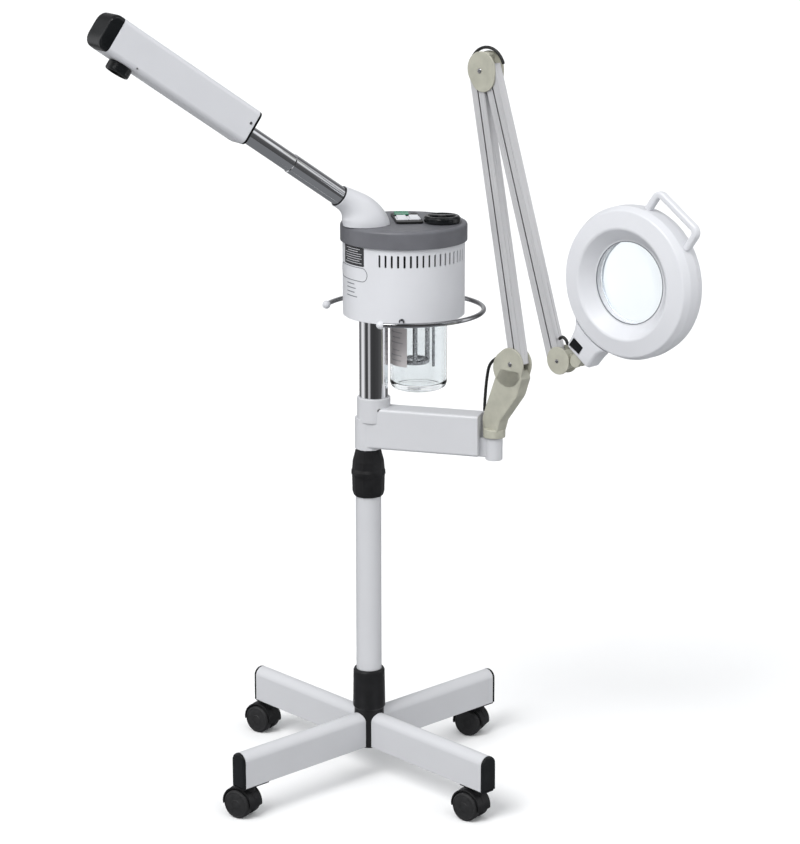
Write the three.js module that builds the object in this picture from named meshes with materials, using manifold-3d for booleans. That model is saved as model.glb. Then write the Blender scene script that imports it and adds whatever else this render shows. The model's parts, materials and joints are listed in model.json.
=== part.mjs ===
import * as THREE from "three";
import Module from "manifold-3d";
import { mergeVertices } from "three/addons/utils/BufferGeometryUtils.js";

const wasm = await Module();
wasm.setup();

// ---------------------------------------------------------------------------
// Driving dimensions, all in millimetres and degrees. +Z is up.
// The column axis is the working origin; the whole stand is recentred at the end.
// ---------------------------------------------------------------------------

// Rolling base
const LEG_REACH = 300;
const LEG_ANGLES = [-137, -47, 43, 133];
const LEG_WIDTH = 30;
const LEG_BOTTOM = 60;
const LEG_TOP = 122;
const LEG_WALL = 1.8;
const LEG_INNER_END = 26.4;
const HUB_RADIUS = 26;
const HUB_TOP = 201;
const CAP_THICKNESS = 6;
const PLATE_START = 241;
const CASTER_REACH = 274;
const CASTER_HEADINGS = [-32, -38, -24, -34];
const CASTER_TRAIL = 16;
const WHEEL_RADIUS = 25;
const WHEEL_WIDTH = 17;
const WHEEL_GAP = 9;
const WHEEL_SIDES = 18;
const AXLE_RADIUS = 4;

// Telescopic column
const TUBE_RADIUS = 22;
const TUBE_WALL = 2;
const LOWER_TUBE_BOTTOM = 72;
const LOWER_TUBE_TOP = 568;
const COLLAR_BOTTOM = 516;
const COLLAR_TOP = 598;
const INNER_TUBE_RADIUS = 19;
const INNER_TUBE_BOTTOM = 130;
const INNER_TUBE_TOP = 656;

// Bracket between column, steamer and lamp
const BRACKET_TURN = -16.4;
const BRACKET_BOTTOM = 604;
const BRACKET_TOP = 675;
const BRACKET_HALF_WIDTH = 22.5;
const BRACKET_END = 199;
const SOCKET_REACH = 222;
const SOCKET_RADIUS = 14.5;
const SOCKET_BORE = 8.4;
const SOCKET_BOTTOM = 597;
const SOCKET_TOP = 636;
const POST_OFFSET = 9.5;
const POST_RADIUS = 24.5;
const POST_BOTTOM = 662;
const POST_TOP = 862;

// Steamer housing
const HOUSING_X = 60.7;
const HOUSING_Y = 26;
const HOUSING_RADIUS = 103.5;
const HOUSING_BOTTOM = 831;
const HOUSING_TOP = 984.6;
const LID_RADIUS = 107.5;
const LID_BOTTOM = 958;
const LID_TOP = 988;
const VENT_COUNT = 17;
const VENT_START = -113;
const VENT_PITCH = 5.9;
const VENT_WIDTH = 3.6;
const VENT_BOTTOM = 927;
const VENT_TOP = 948;
const JAR_X = 86;
const JAR_Y = 39;
const JAR_RADIUS = 49;
const JAR_BOTTOM = 697;
const JAR_NECK_RADIUS = 42;
const JAR_SHOULDER = 821;
const JAR_TOP = 848;
const RING_RADIUS = 136;
const RING_ROD = 4;
const RING_Z = 838;
const RING_START = -104;
const RING_END = 164;
const CAP_X = 125;
const CAP_Y = 14;
const CAP_RADIUS = 31;
const PANEL_X = 66;
const PANEL_Y = 44;
const PANEL_TURN = 7;
const PANEL_WIDTH = 46;
const PANEL_DEPTH = 92;
const PANEL_HEIGHT = 4;
const COIL_Z = 745;

// Steam arm
const ARM_TURN = -150;
const ARM_X = 1.9;
const ARM_Y = -4;
const ARM_RISE = 34.5;
const ARM_AXIS_Z = 1002.5;
const ELBOW_MOUTH = 67;
const STEAM_TUBE_RADIUS = 15.3;
const STEAM_TUBE_BORE = 12;
const HEAD_START = 276;
const HEAD_END = 582;
const HEAD_WIDTH = 58;
const HEAD_LOW = -22;
const HEAD_HIGH = 38;
const NOZZLE_AT = 519;
const NOZZLE_RADIUS = 20;

// Magnifying lamp, drawn in its own upright plane turned about the socket
const LAMP_TURN = -43;
const ARM_LENGTH = 480;
const LOWER_LEAN = 11.3;
const UPPER_LEAN = 17.7;
const BAR_WIDTH = 12.6;
const BAR_DEPTH = 18;
const BAR_WALL = 1.4;
const BAR_OVERRUN = 5.3;
const PIVOT_SPACING = 17;
const LOWER_PIVOT_TILT = -17;
const UPPER_PIVOT_TILT = 46;
const ELBOW_X = -26;
const ELBOW_Z = 1250;
const ELBOW_DISC = 31;
const ELBOW_EGG = [3, 11, 25.5];
const YOKE_X = 43;
const YOKE_Z = 770;
const YOKE_DISC = 28;
const YOKE_EGG = [-6, 9, 31];
const KNUCKLE_X = 145;
const KNUCKLE_Z = 793;
const KNUCKLE_DISC = 23;
const TILT_X = 180;
const TILT_Z = 797;
const LENS_X = 285;
const LENS_Z = 941;
const LENS_RADIUS = 65.5;
const HANDLE_ANGLE = 55;
const SHELL_RADIUS = 120;
const TUBE_RING_RADIUS = 93;
const TUBE_ROD = 13;

// Finishes
const WHITE_PAINT = { color: 0xeeefef, roughness: 0.3, metalness: 0 };
const WHITE = { color: 0xf1f2f2, roughness: 0.35, metalness: 0 };
const BLACK = { color: 0x151517, roughness: 0.45, metalness: 0 };
const RUBBER = { color: 0x111113, roughness: 0.75, metalness: 0 };
const DARK_GREY = { color: 0x4b4c51, roughness: 0.5, metalness: 0 };
const CHROME = { color: 0xc9ccd0, roughness: 0.08, metalness: 1 };
const STEEL = { color: 0xb5b7ba, roughness: 0.3, metalness: 1 };
const ALUMINIUM = { color: 0xb9bcc0, roughness: 0.35, metalness: 1 };
const BEIGE = { color: 0xc9c6b4, roughness: 0.5, metalness: 0 };
const GREEN = { color: 0x1f8a5a, roughness: 0.3, metalness: 0 };
const CLEAR = { color: 0xdfe9ea, roughness: 0.05, metalness: 0, transparent: true, opacity: 0.35 };

// ---------------------------------------------------------------------------
// Helpers
// ---------------------------------------------------------------------------

const rad = THREE.MathUtils.degToRad;

function welded(geometry) {
  const plain = geometry.clone();
  plain.deleteAttribute("normal");
  plain.deleteAttribute("uv");
  return mergeVertices(plain, 1e-3);
}

function signedVolume(geometry) {
  const p = geometry.attributes.position;
  const index = geometry.index;
  const a = new THREE.Vector3();
  const b = new THREE.Vector3();
  const c = new THREE.Vector3();
  let total = 0;
  for (let i = 0; i < index.count; i += 3) {
    a.fromBufferAttribute(p, index.getX(i));
    b.fromBufferAttribute(p, index.getX(i + 1));
    c.fromBufferAttribute(p, index.getX(i + 2));
    total += a.dot(b.cross(c)) / 6;
  }
  return total;
}

function flipped(geometry) {
  const index = geometry.index;
  for (let i = 0; i < index.count; i += 3) {
    const first = index.getX(i);
    index.setX(i, index.getX(i + 1));
    index.setX(i + 1, first);
  }
  return geometry;
}

// Closed three.js geometry as a manifold solid, always right side out.
function solid(geometry) {
  const mesh = welded(geometry);
  if (signedVolume(mesh) < 0) {
    flipped(mesh);
  }
  return new wasm.Manifold(new wasm.Mesh({
    numProp: 3,
    vertProperties: new Float32Array(mesh.attributes.position.array),
    triVerts: new Uint32Array(mesh.index.array),
  }));
}

function geometryOf(manifold) {
  const mesh = manifold.getMesh();
  const geometry = new THREE.BufferGeometry();
  const vertices = new Float32Array(mesh.vertProperties);
  geometry.setAttribute("position", new THREE.BufferAttribute(vertices, 3));
  geometry.setIndex(new THREE.BufferAttribute(new Uint32Array(mesh.triVerts), 1));
  geometry.computeVertexNormals();
  return geometry;
}

function asSolid(part) {
  return part.isBufferGeometry ? solid(part) : part;
}

function union(...parts) {
  return parts.map(asSolid).reduce((a, b) => a.add(b));
}

function cut(body, ...tools) {
  return tools.map(asSolid).reduce((a, b) => a.subtract(b), asSolid(body));
}

function common(a, b) {
  return asSolid(a).intersect(asSolid(b));
}

// Upright cylinder standing on z0.
function cylinder(radius, z0, z1, x = 0, y = 0, segments = 24) {
  const geometry = new THREE.CylinderGeometry(radius, radius, z1 - z0, segments);
  geometry.rotateX(Math.PI / 2);
  geometry.translate(x, y, (z0 + z1) / 2);
  return geometry;
}

// Body of revolution about Z from a list of [radius, z] points.
function turned(points, segments = 26) {
  const geometry = new THREE.LatheGeometry(points.map(([r, z]) => new THREE.Vector2(r, z)), segments);
  geometry.rotateX(Math.PI / 2);
  return geometry;
}

function pipe(outer, inner, z0, z1, segments = 26) {
  return turned([[inner, z0], [outer, z0], [outer, z1], [inner, z1], [inner, z0]], segments);
}

function box(width, depth, height, x = 0, y = 0, z = 0) {
  const geometry = new THREE.BoxGeometry(width, depth, height);
  geometry.translate(x, y, z);
  return geometry;
}

function roundedRectangle(width, height, radius, x = 0, y = 0) {
  const shape = new THREE.Shape();
  const l = x - width / 2;
  const r = x + width / 2;
  const b = y - height / 2;
  const t = y + height / 2;
  shape.moveTo(l + radius, b);
  shape.lineTo(r - radius, b);
  shape.absarc(r - radius, b + radius, radius, -Math.PI / 2, 0);
  shape.lineTo(r, t - radius);
  shape.absarc(r - radius, t - radius, radius, 0, Math.PI / 2);
  shape.lineTo(l + radius, t);
  shape.absarc(l + radius, t - radius, radius, Math.PI / 2, Math.PI);
  shape.lineTo(l, b + radius);
  shape.absarc(l + radius, b + radius, radius, Math.PI, Math.PI * 1.5);
  return shape;
}

function prism(shape, depth, curveSegments = 6) {
  return new THREE.ExtrudeGeometry(shape, { depth, bevelEnabled: false, curveSegments });
}

// Shape drawn in X (across) and Z (up), given thickness along Y around y = 0.
function slab(shape, thickness, curveSegments = 8) {
  const geometry = prism(shape, thickness, curveSegments);
  geometry.translate(0, 0, -thickness / 2);
  geometry.rotateX(Math.PI / 2);
  return geometry;
}

function polygon(points) {
  return new THREE.Shape(points.map(([x, y]) => new THREE.Vector2(x, y)));
}

// Round rod along a smooth path.
function rod(points, radius, steps, sides = 10, closed = false) {
  const knots = points.map((p) => new THREE.Vector3(...p));
  const path = new THREE.CatmullRomCurve3(knots, closed, "centripetal");
  const section = new THREE.Shape();
  for (let i = 0; i <= sides; i += 1) {
    const a = (i / sides) * Math.PI * 2;
    if (i === 0) {
      section.moveTo(radius, 0);
    } else {
      section.lineTo(radius * Math.cos(a), radius * Math.sin(a));
    }
  }
  return new THREE.ExtrudeGeometry(section, { steps, bevelEnabled: false, extrudePath: path });
}

// Skin through a stack of equally sampled closed sections, capped at both ends.
function loft(sections) {
  const count = sections[0].length;
  const positions = [];
  for (const ring of sections) {
    for (const point of ring) {
      positions.push(...point);
    }
  }
  const index = [];
  for (let s = 0; s < sections.length - 1; s += 1) {
    for (let i = 0; i < count; i += 1) {
      const j = (i + 1) % count;
      const a = s * count + i;
      const b = s * count + j;
      const c = (s + 1) * count + i;
      const d = (s + 1) * count + j;
      index.push(a, b, d, a, d, c);
    }
  }
  for (const [row, reversed] of [[0, true], [sections.length - 1, false]]) {
    const centre = [0, 0, 0];
    for (const point of sections[row]) {
      centre[0] += point[0] / count;
      centre[1] += point[1] / count;
      centre[2] += point[2] / count;
    }
    const middle = positions.length / 3;
    positions.push(...centre);
    for (let i = 0; i < count; i += 1) {
      const a = row * count + i;
      const b = row * count + ((i + 1) % count);
      if (reversed) {
        index.push(middle, b, a);
      } else {
        index.push(middle, a, b);
      }
    }
  }
  const geometry = new THREE.BufferGeometry();
  geometry.setAttribute("position", new THREE.Float32BufferAttribute(positions, 3));
  geometry.setIndex(index);
  return geometry;
}

const group = new THREE.Group();
group.name = "facial_steamer";

function pivot(name, x, y, z, parent = group) {
  const node = new THREE.Group();
  node.name = name;
  node.position.set(x, y, z);
  parent.add(node);
  return node;
}

function add(name, shape, finish, parent = group) {
  const geometry = geometryOf(asSolid(shape));
  const material = new THREE.MeshStandardMaterial(finish);
  const mesh = new THREE.Mesh(geometry, material);
  mesh.name = name;
  parent.add(mesh);
  return mesh;
}

// ---------------------------------------------------------------------------
// Rolling base
// ---------------------------------------------------------------------------

// Upright leg section: flat bottom, straight sides, round top.
function legSection(inset) {
  const half = LEG_WIDTH / 2 - inset;
  const bottom = LEG_BOTTOM + inset;
  const spring = LEG_TOP - LEG_WIDTH / 2;
  const shape = new THREE.Shape();
  shape.moveTo(-half, bottom);
  shape.lineTo(half, bottom);
  shape.lineTo(half, spring);
  shape.absarc(0, spring, half, 0, Math.PI);
  shape.lineTo(-half, bottom);
  return shape;
}

// Prism of a leg section from one distance along +X to another.
function alongX(shape, x0, x1, curveSegments = 4) {
  const geometry = prism(shape, x1 - x0, curveSegments);
  geometry.rotateX(Math.PI / 2);
  geometry.rotateZ(Math.PI / 2);
  geometry.translate(x0, 0, 0);
  return geometry;
}

const hubBody = turned([
  [0, 58], [HUB_RADIUS, 58], [HUB_RADIUS, 128], [HUB_RADIUS + 2.4, 131],
  [HUB_RADIUS + 1.4, HUB_TOP - 4], [HUB_RADIUS - 0.6, HUB_TOP], [0, HUB_TOP],
], 26);
let hub = solid(hubBody);
LEG_ANGLES.forEach((angle) => {
  const tenon = alongX(legSection(LEG_WALL + 0.4), HUB_RADIUS - 6, LEG_INNER_END + 32, 2);
  tenon.rotateZ(rad(angle));
  hub = hub.add(solid(tenon));
});
hub = hub.subtract(solid(cylinder(TUBE_RADIUS + 0.3, LOWER_TUBE_BOTTOM - 0.3, HUB_TOP + 5, 0, 0, 24)));
add("base_hub", hub, BLACK);

LEG_ANGLES.forEach((angle, i) => {
  const number = i + 1;
  const leg = cut(
    alongX(legSection(0), LEG_INNER_END - 8, LEG_REACH - CAP_THICKNESS),
    alongX(legSection(LEG_WALL), LEG_INNER_END - 15, LEG_REACH),
    cylinder(LEG_INNER_END, LEG_BOTTOM - 5, LEG_TOP + 5, 0, 0, 48),
    cylinder(6.6, LEG_BOTTOM - 5, LEG_BOTTOM + 5, CASTER_REACH, 0, 12),
  );
  const legMesh = add(`leg_${number}`, leg, WHITE_PAINT);
  legMesh.rotation.z = rad(angle);

  // End plug with a thin bearing plate that runs back under the leg round the caster boss.
  const plateMiddle = (LEG_REACH - 1.5 + PLATE_START) / 2;
  const cap = cut(
    union(
      alongX(legSection(0), LEG_REACH - CAP_THICKNESS + 0.3, LEG_REACH - 1.5),
      alongX(legSection(1.5), LEG_REACH - 2, LEG_REACH),
      alongX(legSection(LEG_WALL + 0.3), LEG_REACH - CAP_THICKNESS - 11, LEG_REACH - 3),
      box(4.2, 27, 3.2, LEG_REACH - 3.6, 0, LEG_BOTTOM - 0.6),
      box(LEG_REACH - 1.5 - PLATE_START, 27, 1.9, plateMiddle, 0, LEG_BOTTOM - 1.25),
    ),
    cylinder(9.6, LEG_BOTTOM - 5, LEG_BOTTOM - 0.1, CASTER_REACH, 0, 16),
  );
  const capMesh = add(`leg_cap_${number}`, cap, BLACK);
  capMesh.rotation.z = rad(angle);

  const swivel = pivot(
    `pivot_caster_${number}`,
    CASTER_REACH * Math.cos(rad(angle)),
    CASTER_REACH * Math.sin(rad(angle)),
    0,
  );
  swivel.rotation.z = rad(CASTER_HEADINGS[i]);

  // Fork with curved hood over both wheels, axle and stem in one piece.
  const hood = new THREE.Shape();
  hood.absarc(0, 0, WHEEL_RADIUS + 5, rad(-8), rad(188));
  hood.lineTo((WHEEL_RADIUS + 2) * Math.cos(rad(188)), (WHEEL_RADIUS + 2) * Math.sin(rad(188)));
  hood.absarc(0, 0, WHEEL_RADIUS + 1.8, rad(188), rad(-8), true);
  const hoodSolid = slab(hood, WHEEL_WIDTH * 2 + WHEEL_GAP - 10, 6);
  hoodSolid.translate(-CASTER_TRAIL, 0, WHEEL_RADIUS);
  const web = slab(polygon([
    [-CASTER_TRAIL - 7, WHEEL_RADIUS - 7], [-CASTER_TRAIL + 7, WHEEL_RADIUS - 7],
    [7, WHEEL_RADIUS + 14], [7, WHEEL_RADIUS + 26], [-CASTER_TRAIL - 10, WHEEL_RADIUS + 26],
  ]), WHEEL_GAP - 2);
  const axle = new THREE.CylinderGeometry(AXLE_RADIUS, AXLE_RADIUS, WHEEL_WIDTH * 2 + WHEEL_GAP - 4, 10);
  axle.translate(-CASTER_TRAIL, 0, WHEEL_RADIUS);
  const fork = union(
    hoodSolid,
    web,
    axle,
    cylinder(9, WHEEL_RADIUS + 24.7, LEG_BOTTOM - 0.4, 0, 0, 12),
    cylinder(6, LEG_BOTTOM - 2, LEG_BOTTOM + 30, 0, 0, 10),
  );
  add(`caster_fork_${number}`, fork, BLACK, swivel);

  [-1, 1].forEach((side) => {
    const label = `wheel_${number}_${side < 0 ? "near" : "far"}`;
    const wheelPivot = pivot(`pivot_${label}`, -CASTER_TRAIL, 0, WHEEL_RADIUS, swivel);
    const inner = WHEEL_GAP / 2;
    const outer = WHEEL_GAP / 2 + WHEEL_WIDTH;
    const rim = WHEEL_RADIUS / Math.cos(Math.PI / WHEEL_SIDES);
    const wheel = turned([
      [AXLE_RADIUS + 0.3, inner], [rim, inner], [rim, outer - 4],
      [rim - 3.5, outer - 0.8], [0, outer], [0, outer - 1.6],
      [AXLE_RADIUS + 0.3, outer - 1.6], [AXLE_RADIUS + 0.3, inner],
    ], WHEEL_SIDES);
    wheel.rotateZ(Math.PI / WHEEL_SIDES);
    wheel.rotateX(side < 0 ? Math.PI / 2 : -Math.PI / 2);
    add(label, wheel, BLACK, wheelPivot);
  });
});

// ---------------------------------------------------------------------------
// Telescopic column
// ---------------------------------------------------------------------------

const lowerTube = pipe(TUBE_RADIUS, TUBE_RADIUS - TUBE_WALL, LOWER_TUBE_BOTTOM, LOWER_TUBE_TOP);
add("column_lower_tube", lowerTube, WHITE_PAINT);

// Twist collar that grips the inner tube, with finger flutes round the ridge.
const collarBore = INNER_TUBE_RADIUS + 0.5;
let collar = solid(turned([
  [collarBore, COLLAR_TOP], [collarBore, LOWER_TUBE_TOP + 0.5],
  [TUBE_RADIUS + 0.3, LOWER_TUBE_TOP + 0.5], [TUBE_RADIUS + 0.3, COLLAR_BOTTOM],
  [25, COLLAR_BOTTOM], [27.4, COLLAR_BOTTOM + 7], [28, COLLAR_BOTTOM + 36],
  [29.4, COLLAR_BOTTOM + 42], [28, COLLAR_BOTTOM + 48], [27, COLLAR_BOTTOM + 62],
  [21.8, COLLAR_TOP], [collarBore, COLLAR_TOP],
], 20));
for (let i = 0; i < 4; i += 1) {
  const a = (i / 4) * Math.PI * 2;
  const flute = cylinder(2.6, COLLAR_BOTTOM + 5, COLLAR_BOTTOM + 34, 29.6, 0, 5);
  flute.rotateZ(a);
  collar = collar.subtract(solid(flute));
}
add("height_collar", collar, BLACK);

// Everything above slides up and down together.
const carriage = pivot("pivot_height", 0, 0, 0);

const innerTubeBore = INNER_TUBE_RADIUS - TUBE_WALL;
const innerTube = pipe(INNER_TUBE_RADIUS, innerTubeBore, INNER_TUBE_BOTTOM, INNER_TUBE_TOP);
add("column_inner_tube", innerTube, CHROME, carriage);

// ---------------------------------------------------------------------------
// Bracket: sleeve on the inner tube, eccentric seat for the steamer post, box arm, lamp socket
// ---------------------------------------------------------------------------

const bracketHeight = BRACKET_TOP - BRACKET_BOTTOM;
const bracketMiddle = (BRACKET_TOP + BRACKET_BOTTOM) / 2;

function bracketBox(inset, radius, x0, x1, drop, curveSegments) {
  const width = BRACKET_HALF_WIDTH * 2 - inset;
  const shape = roundedRectangle(width, bracketHeight - inset, radius, 0, bracketMiddle);
  const geometry = prism(shape, x1 - x0, curveSegments);
  geometry.rotateX(Math.PI / 2);
  geometry.rotateZ(Math.PI / 2);
  geometry.translate(x0, 0, -drop);
  geometry.rotateZ(rad(BRACKET_TURN));
  return geometry;
}

const boxArm = bracketBox(0, 5, 0, BRACKET_END, 0, 2);
const boxHollow = bracketBox(7, 3, 38, BRACKET_END - 5, 8, 1);
const socketX = SOCKET_REACH * Math.cos(rad(BRACKET_TURN));
const socketY = SOCKET_REACH * Math.sin(rad(BRACKET_TURN));
const socketWeb = box(24, 16, 34, SOCKET_REACH - 16, 0, SOCKET_TOP - 18);
socketWeb.rotateZ(rad(BRACKET_TURN));
const bracket = cut(
  union(
    boxArm,
    cylinder(TUBE_RADIUS + 0.8, BRACKET_BOTTOM - 4, BRACKET_TOP - 20, 0, 0, 20),
    cylinder(POST_RADIUS + 4, BRACKET_TOP - 26, BRACKET_TOP + 16, POST_OFFSET, 0, 22),
    cylinder(SOCKET_RADIUS, SOCKET_BOTTOM, SOCKET_TOP, socketX, socketY, 20),
    socketWeb,
  ),
  cylinder(INNER_TUBE_RADIUS + 0.3, BRACKET_BOTTOM - 10, INNER_TUBE_TOP + 0.3, 0, 0, 26),
  cylinder(POST_RADIUS + 0.3, POST_BOTTOM - 0.3, BRACKET_TOP + 30, POST_OFFSET, 0, 22),
  cylinder(SOCKET_BORE, SOCKET_BOTTOM + 4, SOCKET_TOP + 10, socketX, socketY, 18),
  boxHollow,
);
add("bracket", bracket, WHITE_PAINT, carriage);

const post = pipe(POST_RADIUS, POST_RADIUS - 2, POST_BOTTOM, POST_TOP, 28);
post.translate(POST_OFFSET, 0, 0);
add("steamer_post", post, CHROME, carriage);

// ---------------------------------------------------------------------------
// Steamer housing, jar and heater
// ---------------------------------------------------------------------------

// Floor plate with jar collar and boss for the post.
const floorRadius = HOUSING_RADIUS - 3.3;
const floorBody = cut(
  union(
    cylinder(floorRadius, HOUSING_BOTTOM + 1, HOUSING_BOTTOM + 4, HOUSING_X, HOUSING_Y, 32),
    cylinder(JAR_NECK_RADIUS + 7, JAR_SHOULDER + 2, HOUSING_BOTTOM + 9, JAR_X, JAR_Y, 22),
    cylinder(POST_RADIUS + 4, HOUSING_BOTTOM + 1, POST_TOP + 4, POST_OFFSET, 0, 22),
  ),
  cylinder(JAR_NECK_RADIUS + 1, JAR_SHOULDER - 5, HOUSING_BOTTOM + 12, JAR_X, JAR_Y, 22),
  cylinder(POST_RADIUS + 0.3, HOUSING_BOTTOM - 5, POST_TOP + 0.3, POST_OFFSET, 0, 22),
);
add("housing_floor", floorBody, DARK_GREY, carriage);

const shellPipe = pipe(HOUSING_RADIUS, HOUSING_RADIUS - 2.5, HOUSING_BOTTOM, HOUSING_TOP, 40);
shellPipe.translate(HOUSING_X, HOUSING_Y, 0);
let shell = solid(shellPipe);
for (let i = 0; i < VENT_COUNT; i += 1) {
  const height = VENT_TOP - VENT_BOTTOM;
  const slot = box(14, VENT_WIDTH, height, HOUSING_RADIUS, 0, VENT_BOTTOM + height / 2);
  slot.rotateZ(rad(VENT_START + i * VENT_PITCH));
  slot.translate(HOUSING_X, HOUSING_Y, 0);
  shell = shell.subtract(solid(slot));
}
add("housing_shell", shell, WHITE, carriage);

const lidTurned = turned([
  [0, LID_TOP], [LID_RADIUS - 7, LID_TOP], [LID_RADIUS - 2.2, LID_TOP - 2.2], [LID_RADIUS, LID_TOP - 7],
  [LID_RADIUS, LID_BOTTOM], [HOUSING_RADIUS + 0.4, LID_BOTTOM], [HOUSING_RADIUS + 0.4, HOUSING_TOP + 0.4],
  [0, HOUSING_TOP + 0.4],
], 40);
lidTurned.translate(HOUSING_X, HOUSING_Y, 0);
const lid = cut(
  lidTurned,
  cylinder(21, LID_TOP - 10, LID_TOP + 5, CAP_X, CAP_Y, 18),
  cylinder(14.3, LID_TOP - 10, LID_TOP + 5, ARM_X, ARM_Y, 16),
);
add("housing_lid", lid, DARK_GREY, carriage);

// Raised control plate with three rocker wells.
const ROCKERS = [
  ["switch_power", -6, 27, 26, 22, GREEN],
  ["switch_steam", -10.5, -12, 17, 27, WHITE],
  ["switch_ozone", 10.5, -12, 17, 27, WHITE],
];
const panelPivot = pivot("panel_frame", PANEL_X, PANEL_Y, LID_TOP, carriage);
panelPivot.rotation.z = rad(PANEL_TURN);
const plate = prism(roundedRectangle(PANEL_WIDTH, PANEL_DEPTH, 7), PANEL_HEIGHT - 0.3, 3);
plate.translate(0, 0, 0.3);
let panel = solid(plate);
ROCKERS.forEach(([, x, y, w, d]) => {
  panel = panel.subtract(solid(box(w, d, 6, x, y, PANEL_HEIGHT + 1.6)));
});
add("control_panel", panel, BLACK, panelPivot);
ROCKERS.forEach(([name, x, y, w, d, finish]) => {
  const rockerPivot = pivot(`pivot_${name}`, x, y, PANEL_HEIGHT + 1, panelPivot);
  const half = d / 2 - 1.2;
  const profile = polygon([[-half, -1.4], [0, -2.2], [half, 0.4], [half, 3.2], [0, 1.6], [-half, 1.2]]);
  const rocker = slab(profile, w - 1.6, 2);
  rocker.rotateZ(Math.PI / 2);
  add(name, rocker, finish, rockerPivot);
});

// Filler cap with finger bar and plug.
const capPivot = pivot("pivot_filler_cap", CAP_X, CAP_Y, LID_TOP, carriage);
const fillerCap = union(
  turned([
    [0, -16], [20, -16], [20, 0.5], [CAP_RADIUS - 2, 0.5], [CAP_RADIUS, 3], [CAP_RADIUS, 9],
    [CAP_RADIUS - 3, 12.5], [CAP_RADIUS - 7, 12.5], [CAP_RADIUS - 10, 9], [0, 9],
  ], 22),
  slab(roundedRectangle(44, 7, 3, 0, 10), 9, 4),
);
add("filler_cap", fillerCap, BLACK, capPivot);

// Boiler jar.
const jarPivot = pivot("pivot_jar", JAR_X, JAR_Y, JAR_BOTTOM, carriage);
const jarHeight = JAR_TOP - JAR_BOTTOM;
const shoulder = JAR_SHOULDER - JAR_BOTTOM;
const jar = turned([
  [0, 0], [JAR_RADIUS - 12, 0], [JAR_RADIUS - 3.5, 3.5], [JAR_RADIUS, 12], [JAR_RADIUS, shoulder - 8],
  [JAR_NECK_RADIUS, shoulder],
  [JAR_NECK_RADIUS, jarHeight], [JAR_NECK_RADIUS - 3, jarHeight],
  [JAR_NECK_RADIUS - 3, shoulder - 2], [JAR_RADIUS - 3.2, shoulder - 9], [JAR_RADIUS - 3.2, 13],
  [JAR_RADIUS - 13, 3.4], [0, 3.4],
], 24);
add("boiler_jar", jar, CLEAR, jarPivot);

// Heater flange carrying the ring element and the level probe.
const coil = new THREE.TorusGeometry(21, 4.2, 7, 18);
coil.translate(-6, 0, COIL_Z);
const heater = union(
  cylinder(JAR_NECK_RADIUS + 5, JAR_TOP + 0.5, JAR_TOP + 5, 0, 0, 24),
  cylinder(4.2, COIL_Z, JAR_TOP + 2, -6, -20.5, 8),
  cylinder(4.2, COIL_Z, JAR_TOP + 2, 15, 0, 8),
  cylinder(2.6, COIL_Z - 14, JAR_TOP + 2, 26, 12, 8),
  coil,
);
const heaterPivot = pivot("heater_frame", JAR_X, JAR_Y, 0, carriage);
add("heater", heater, STEEL, heaterPivot);

// Guard ring round the housing foot, held by three spokes.
const ringPoints = [];
const ringSteps = 24;
for (let i = 0; i <= 20; i += 1) {
  const a = rad(RING_START + ((RING_END - RING_START) * i) / 20);
  ringPoints.push([RING_RADIUS * Math.cos(a), RING_RADIUS * Math.sin(a), RING_Z]);
}
const spokes = [-92, 60, 130].map((angle) => {
  const spoke = new THREE.CylinderGeometry(3, 3, RING_RADIUS - HOUSING_RADIUS - 0.4, 8);
  spoke.rotateZ(Math.PI / 2);
  spoke.translate((RING_RADIUS + HOUSING_RADIUS + 0.4) / 2, 0, RING_Z);
  spoke.rotateZ(rad(angle));
  return spoke;
});
const ring = union(rod(ringPoints, RING_ROD, ringSteps, 7), ...spokes);
const ringFrame = pivot("ring_frame", HOUSING_X, HOUSING_Y, 0, carriage);
add("guard_ring", ring, CHROME, ringFrame);
[[RING_START, "front", -1], [RING_END, "rear", 1]].forEach(([angle, label, way]) => {
  const tip = new THREE.SphereGeometry(7, 12, 8);
  const centre = rad(angle + way * 2.6);
  tip.translate(RING_RADIUS * Math.cos(centre), RING_RADIUS * Math.sin(centre), RING_Z);
  const ringTip = cut(tip, rod(ringPoints, RING_ROD + 0.3, ringSteps, 7));
  add(`ring_tip_${label}`, ringTip, WHITE, ringFrame);
});

// ---------------------------------------------------------------------------
// Steam arm
// ---------------------------------------------------------------------------

const armPivot = pivot("pivot_steam_arm", ARM_X, ARM_Y, 0, carriage);
armPivot.rotation.z = rad(ARM_TURN);

// Frame whose +X runs up along the steam tube and whose +Z is its upper side.
const alongArm = pivot("arm_axis_frame", 0, 0, ARM_AXIS_Z, armPivot);
alongArm.rotation.y = rad(-ARM_RISE);

function tubeAlongArm(outer, inner, a0, a1, segments = 22) {
  const geometry = pipe(outer, inner, a0, a1, segments);
  geometry.rotateY(Math.PI / 2);
  return geometry;
}

function solidAlongArm(radius, a0, a1, segments = 22) {
  const geometry = cylinder(radius, a0, a1, 0, 0, segments);
  geometry.rotateY(Math.PI / 2);
  return geometry;
}

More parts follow.
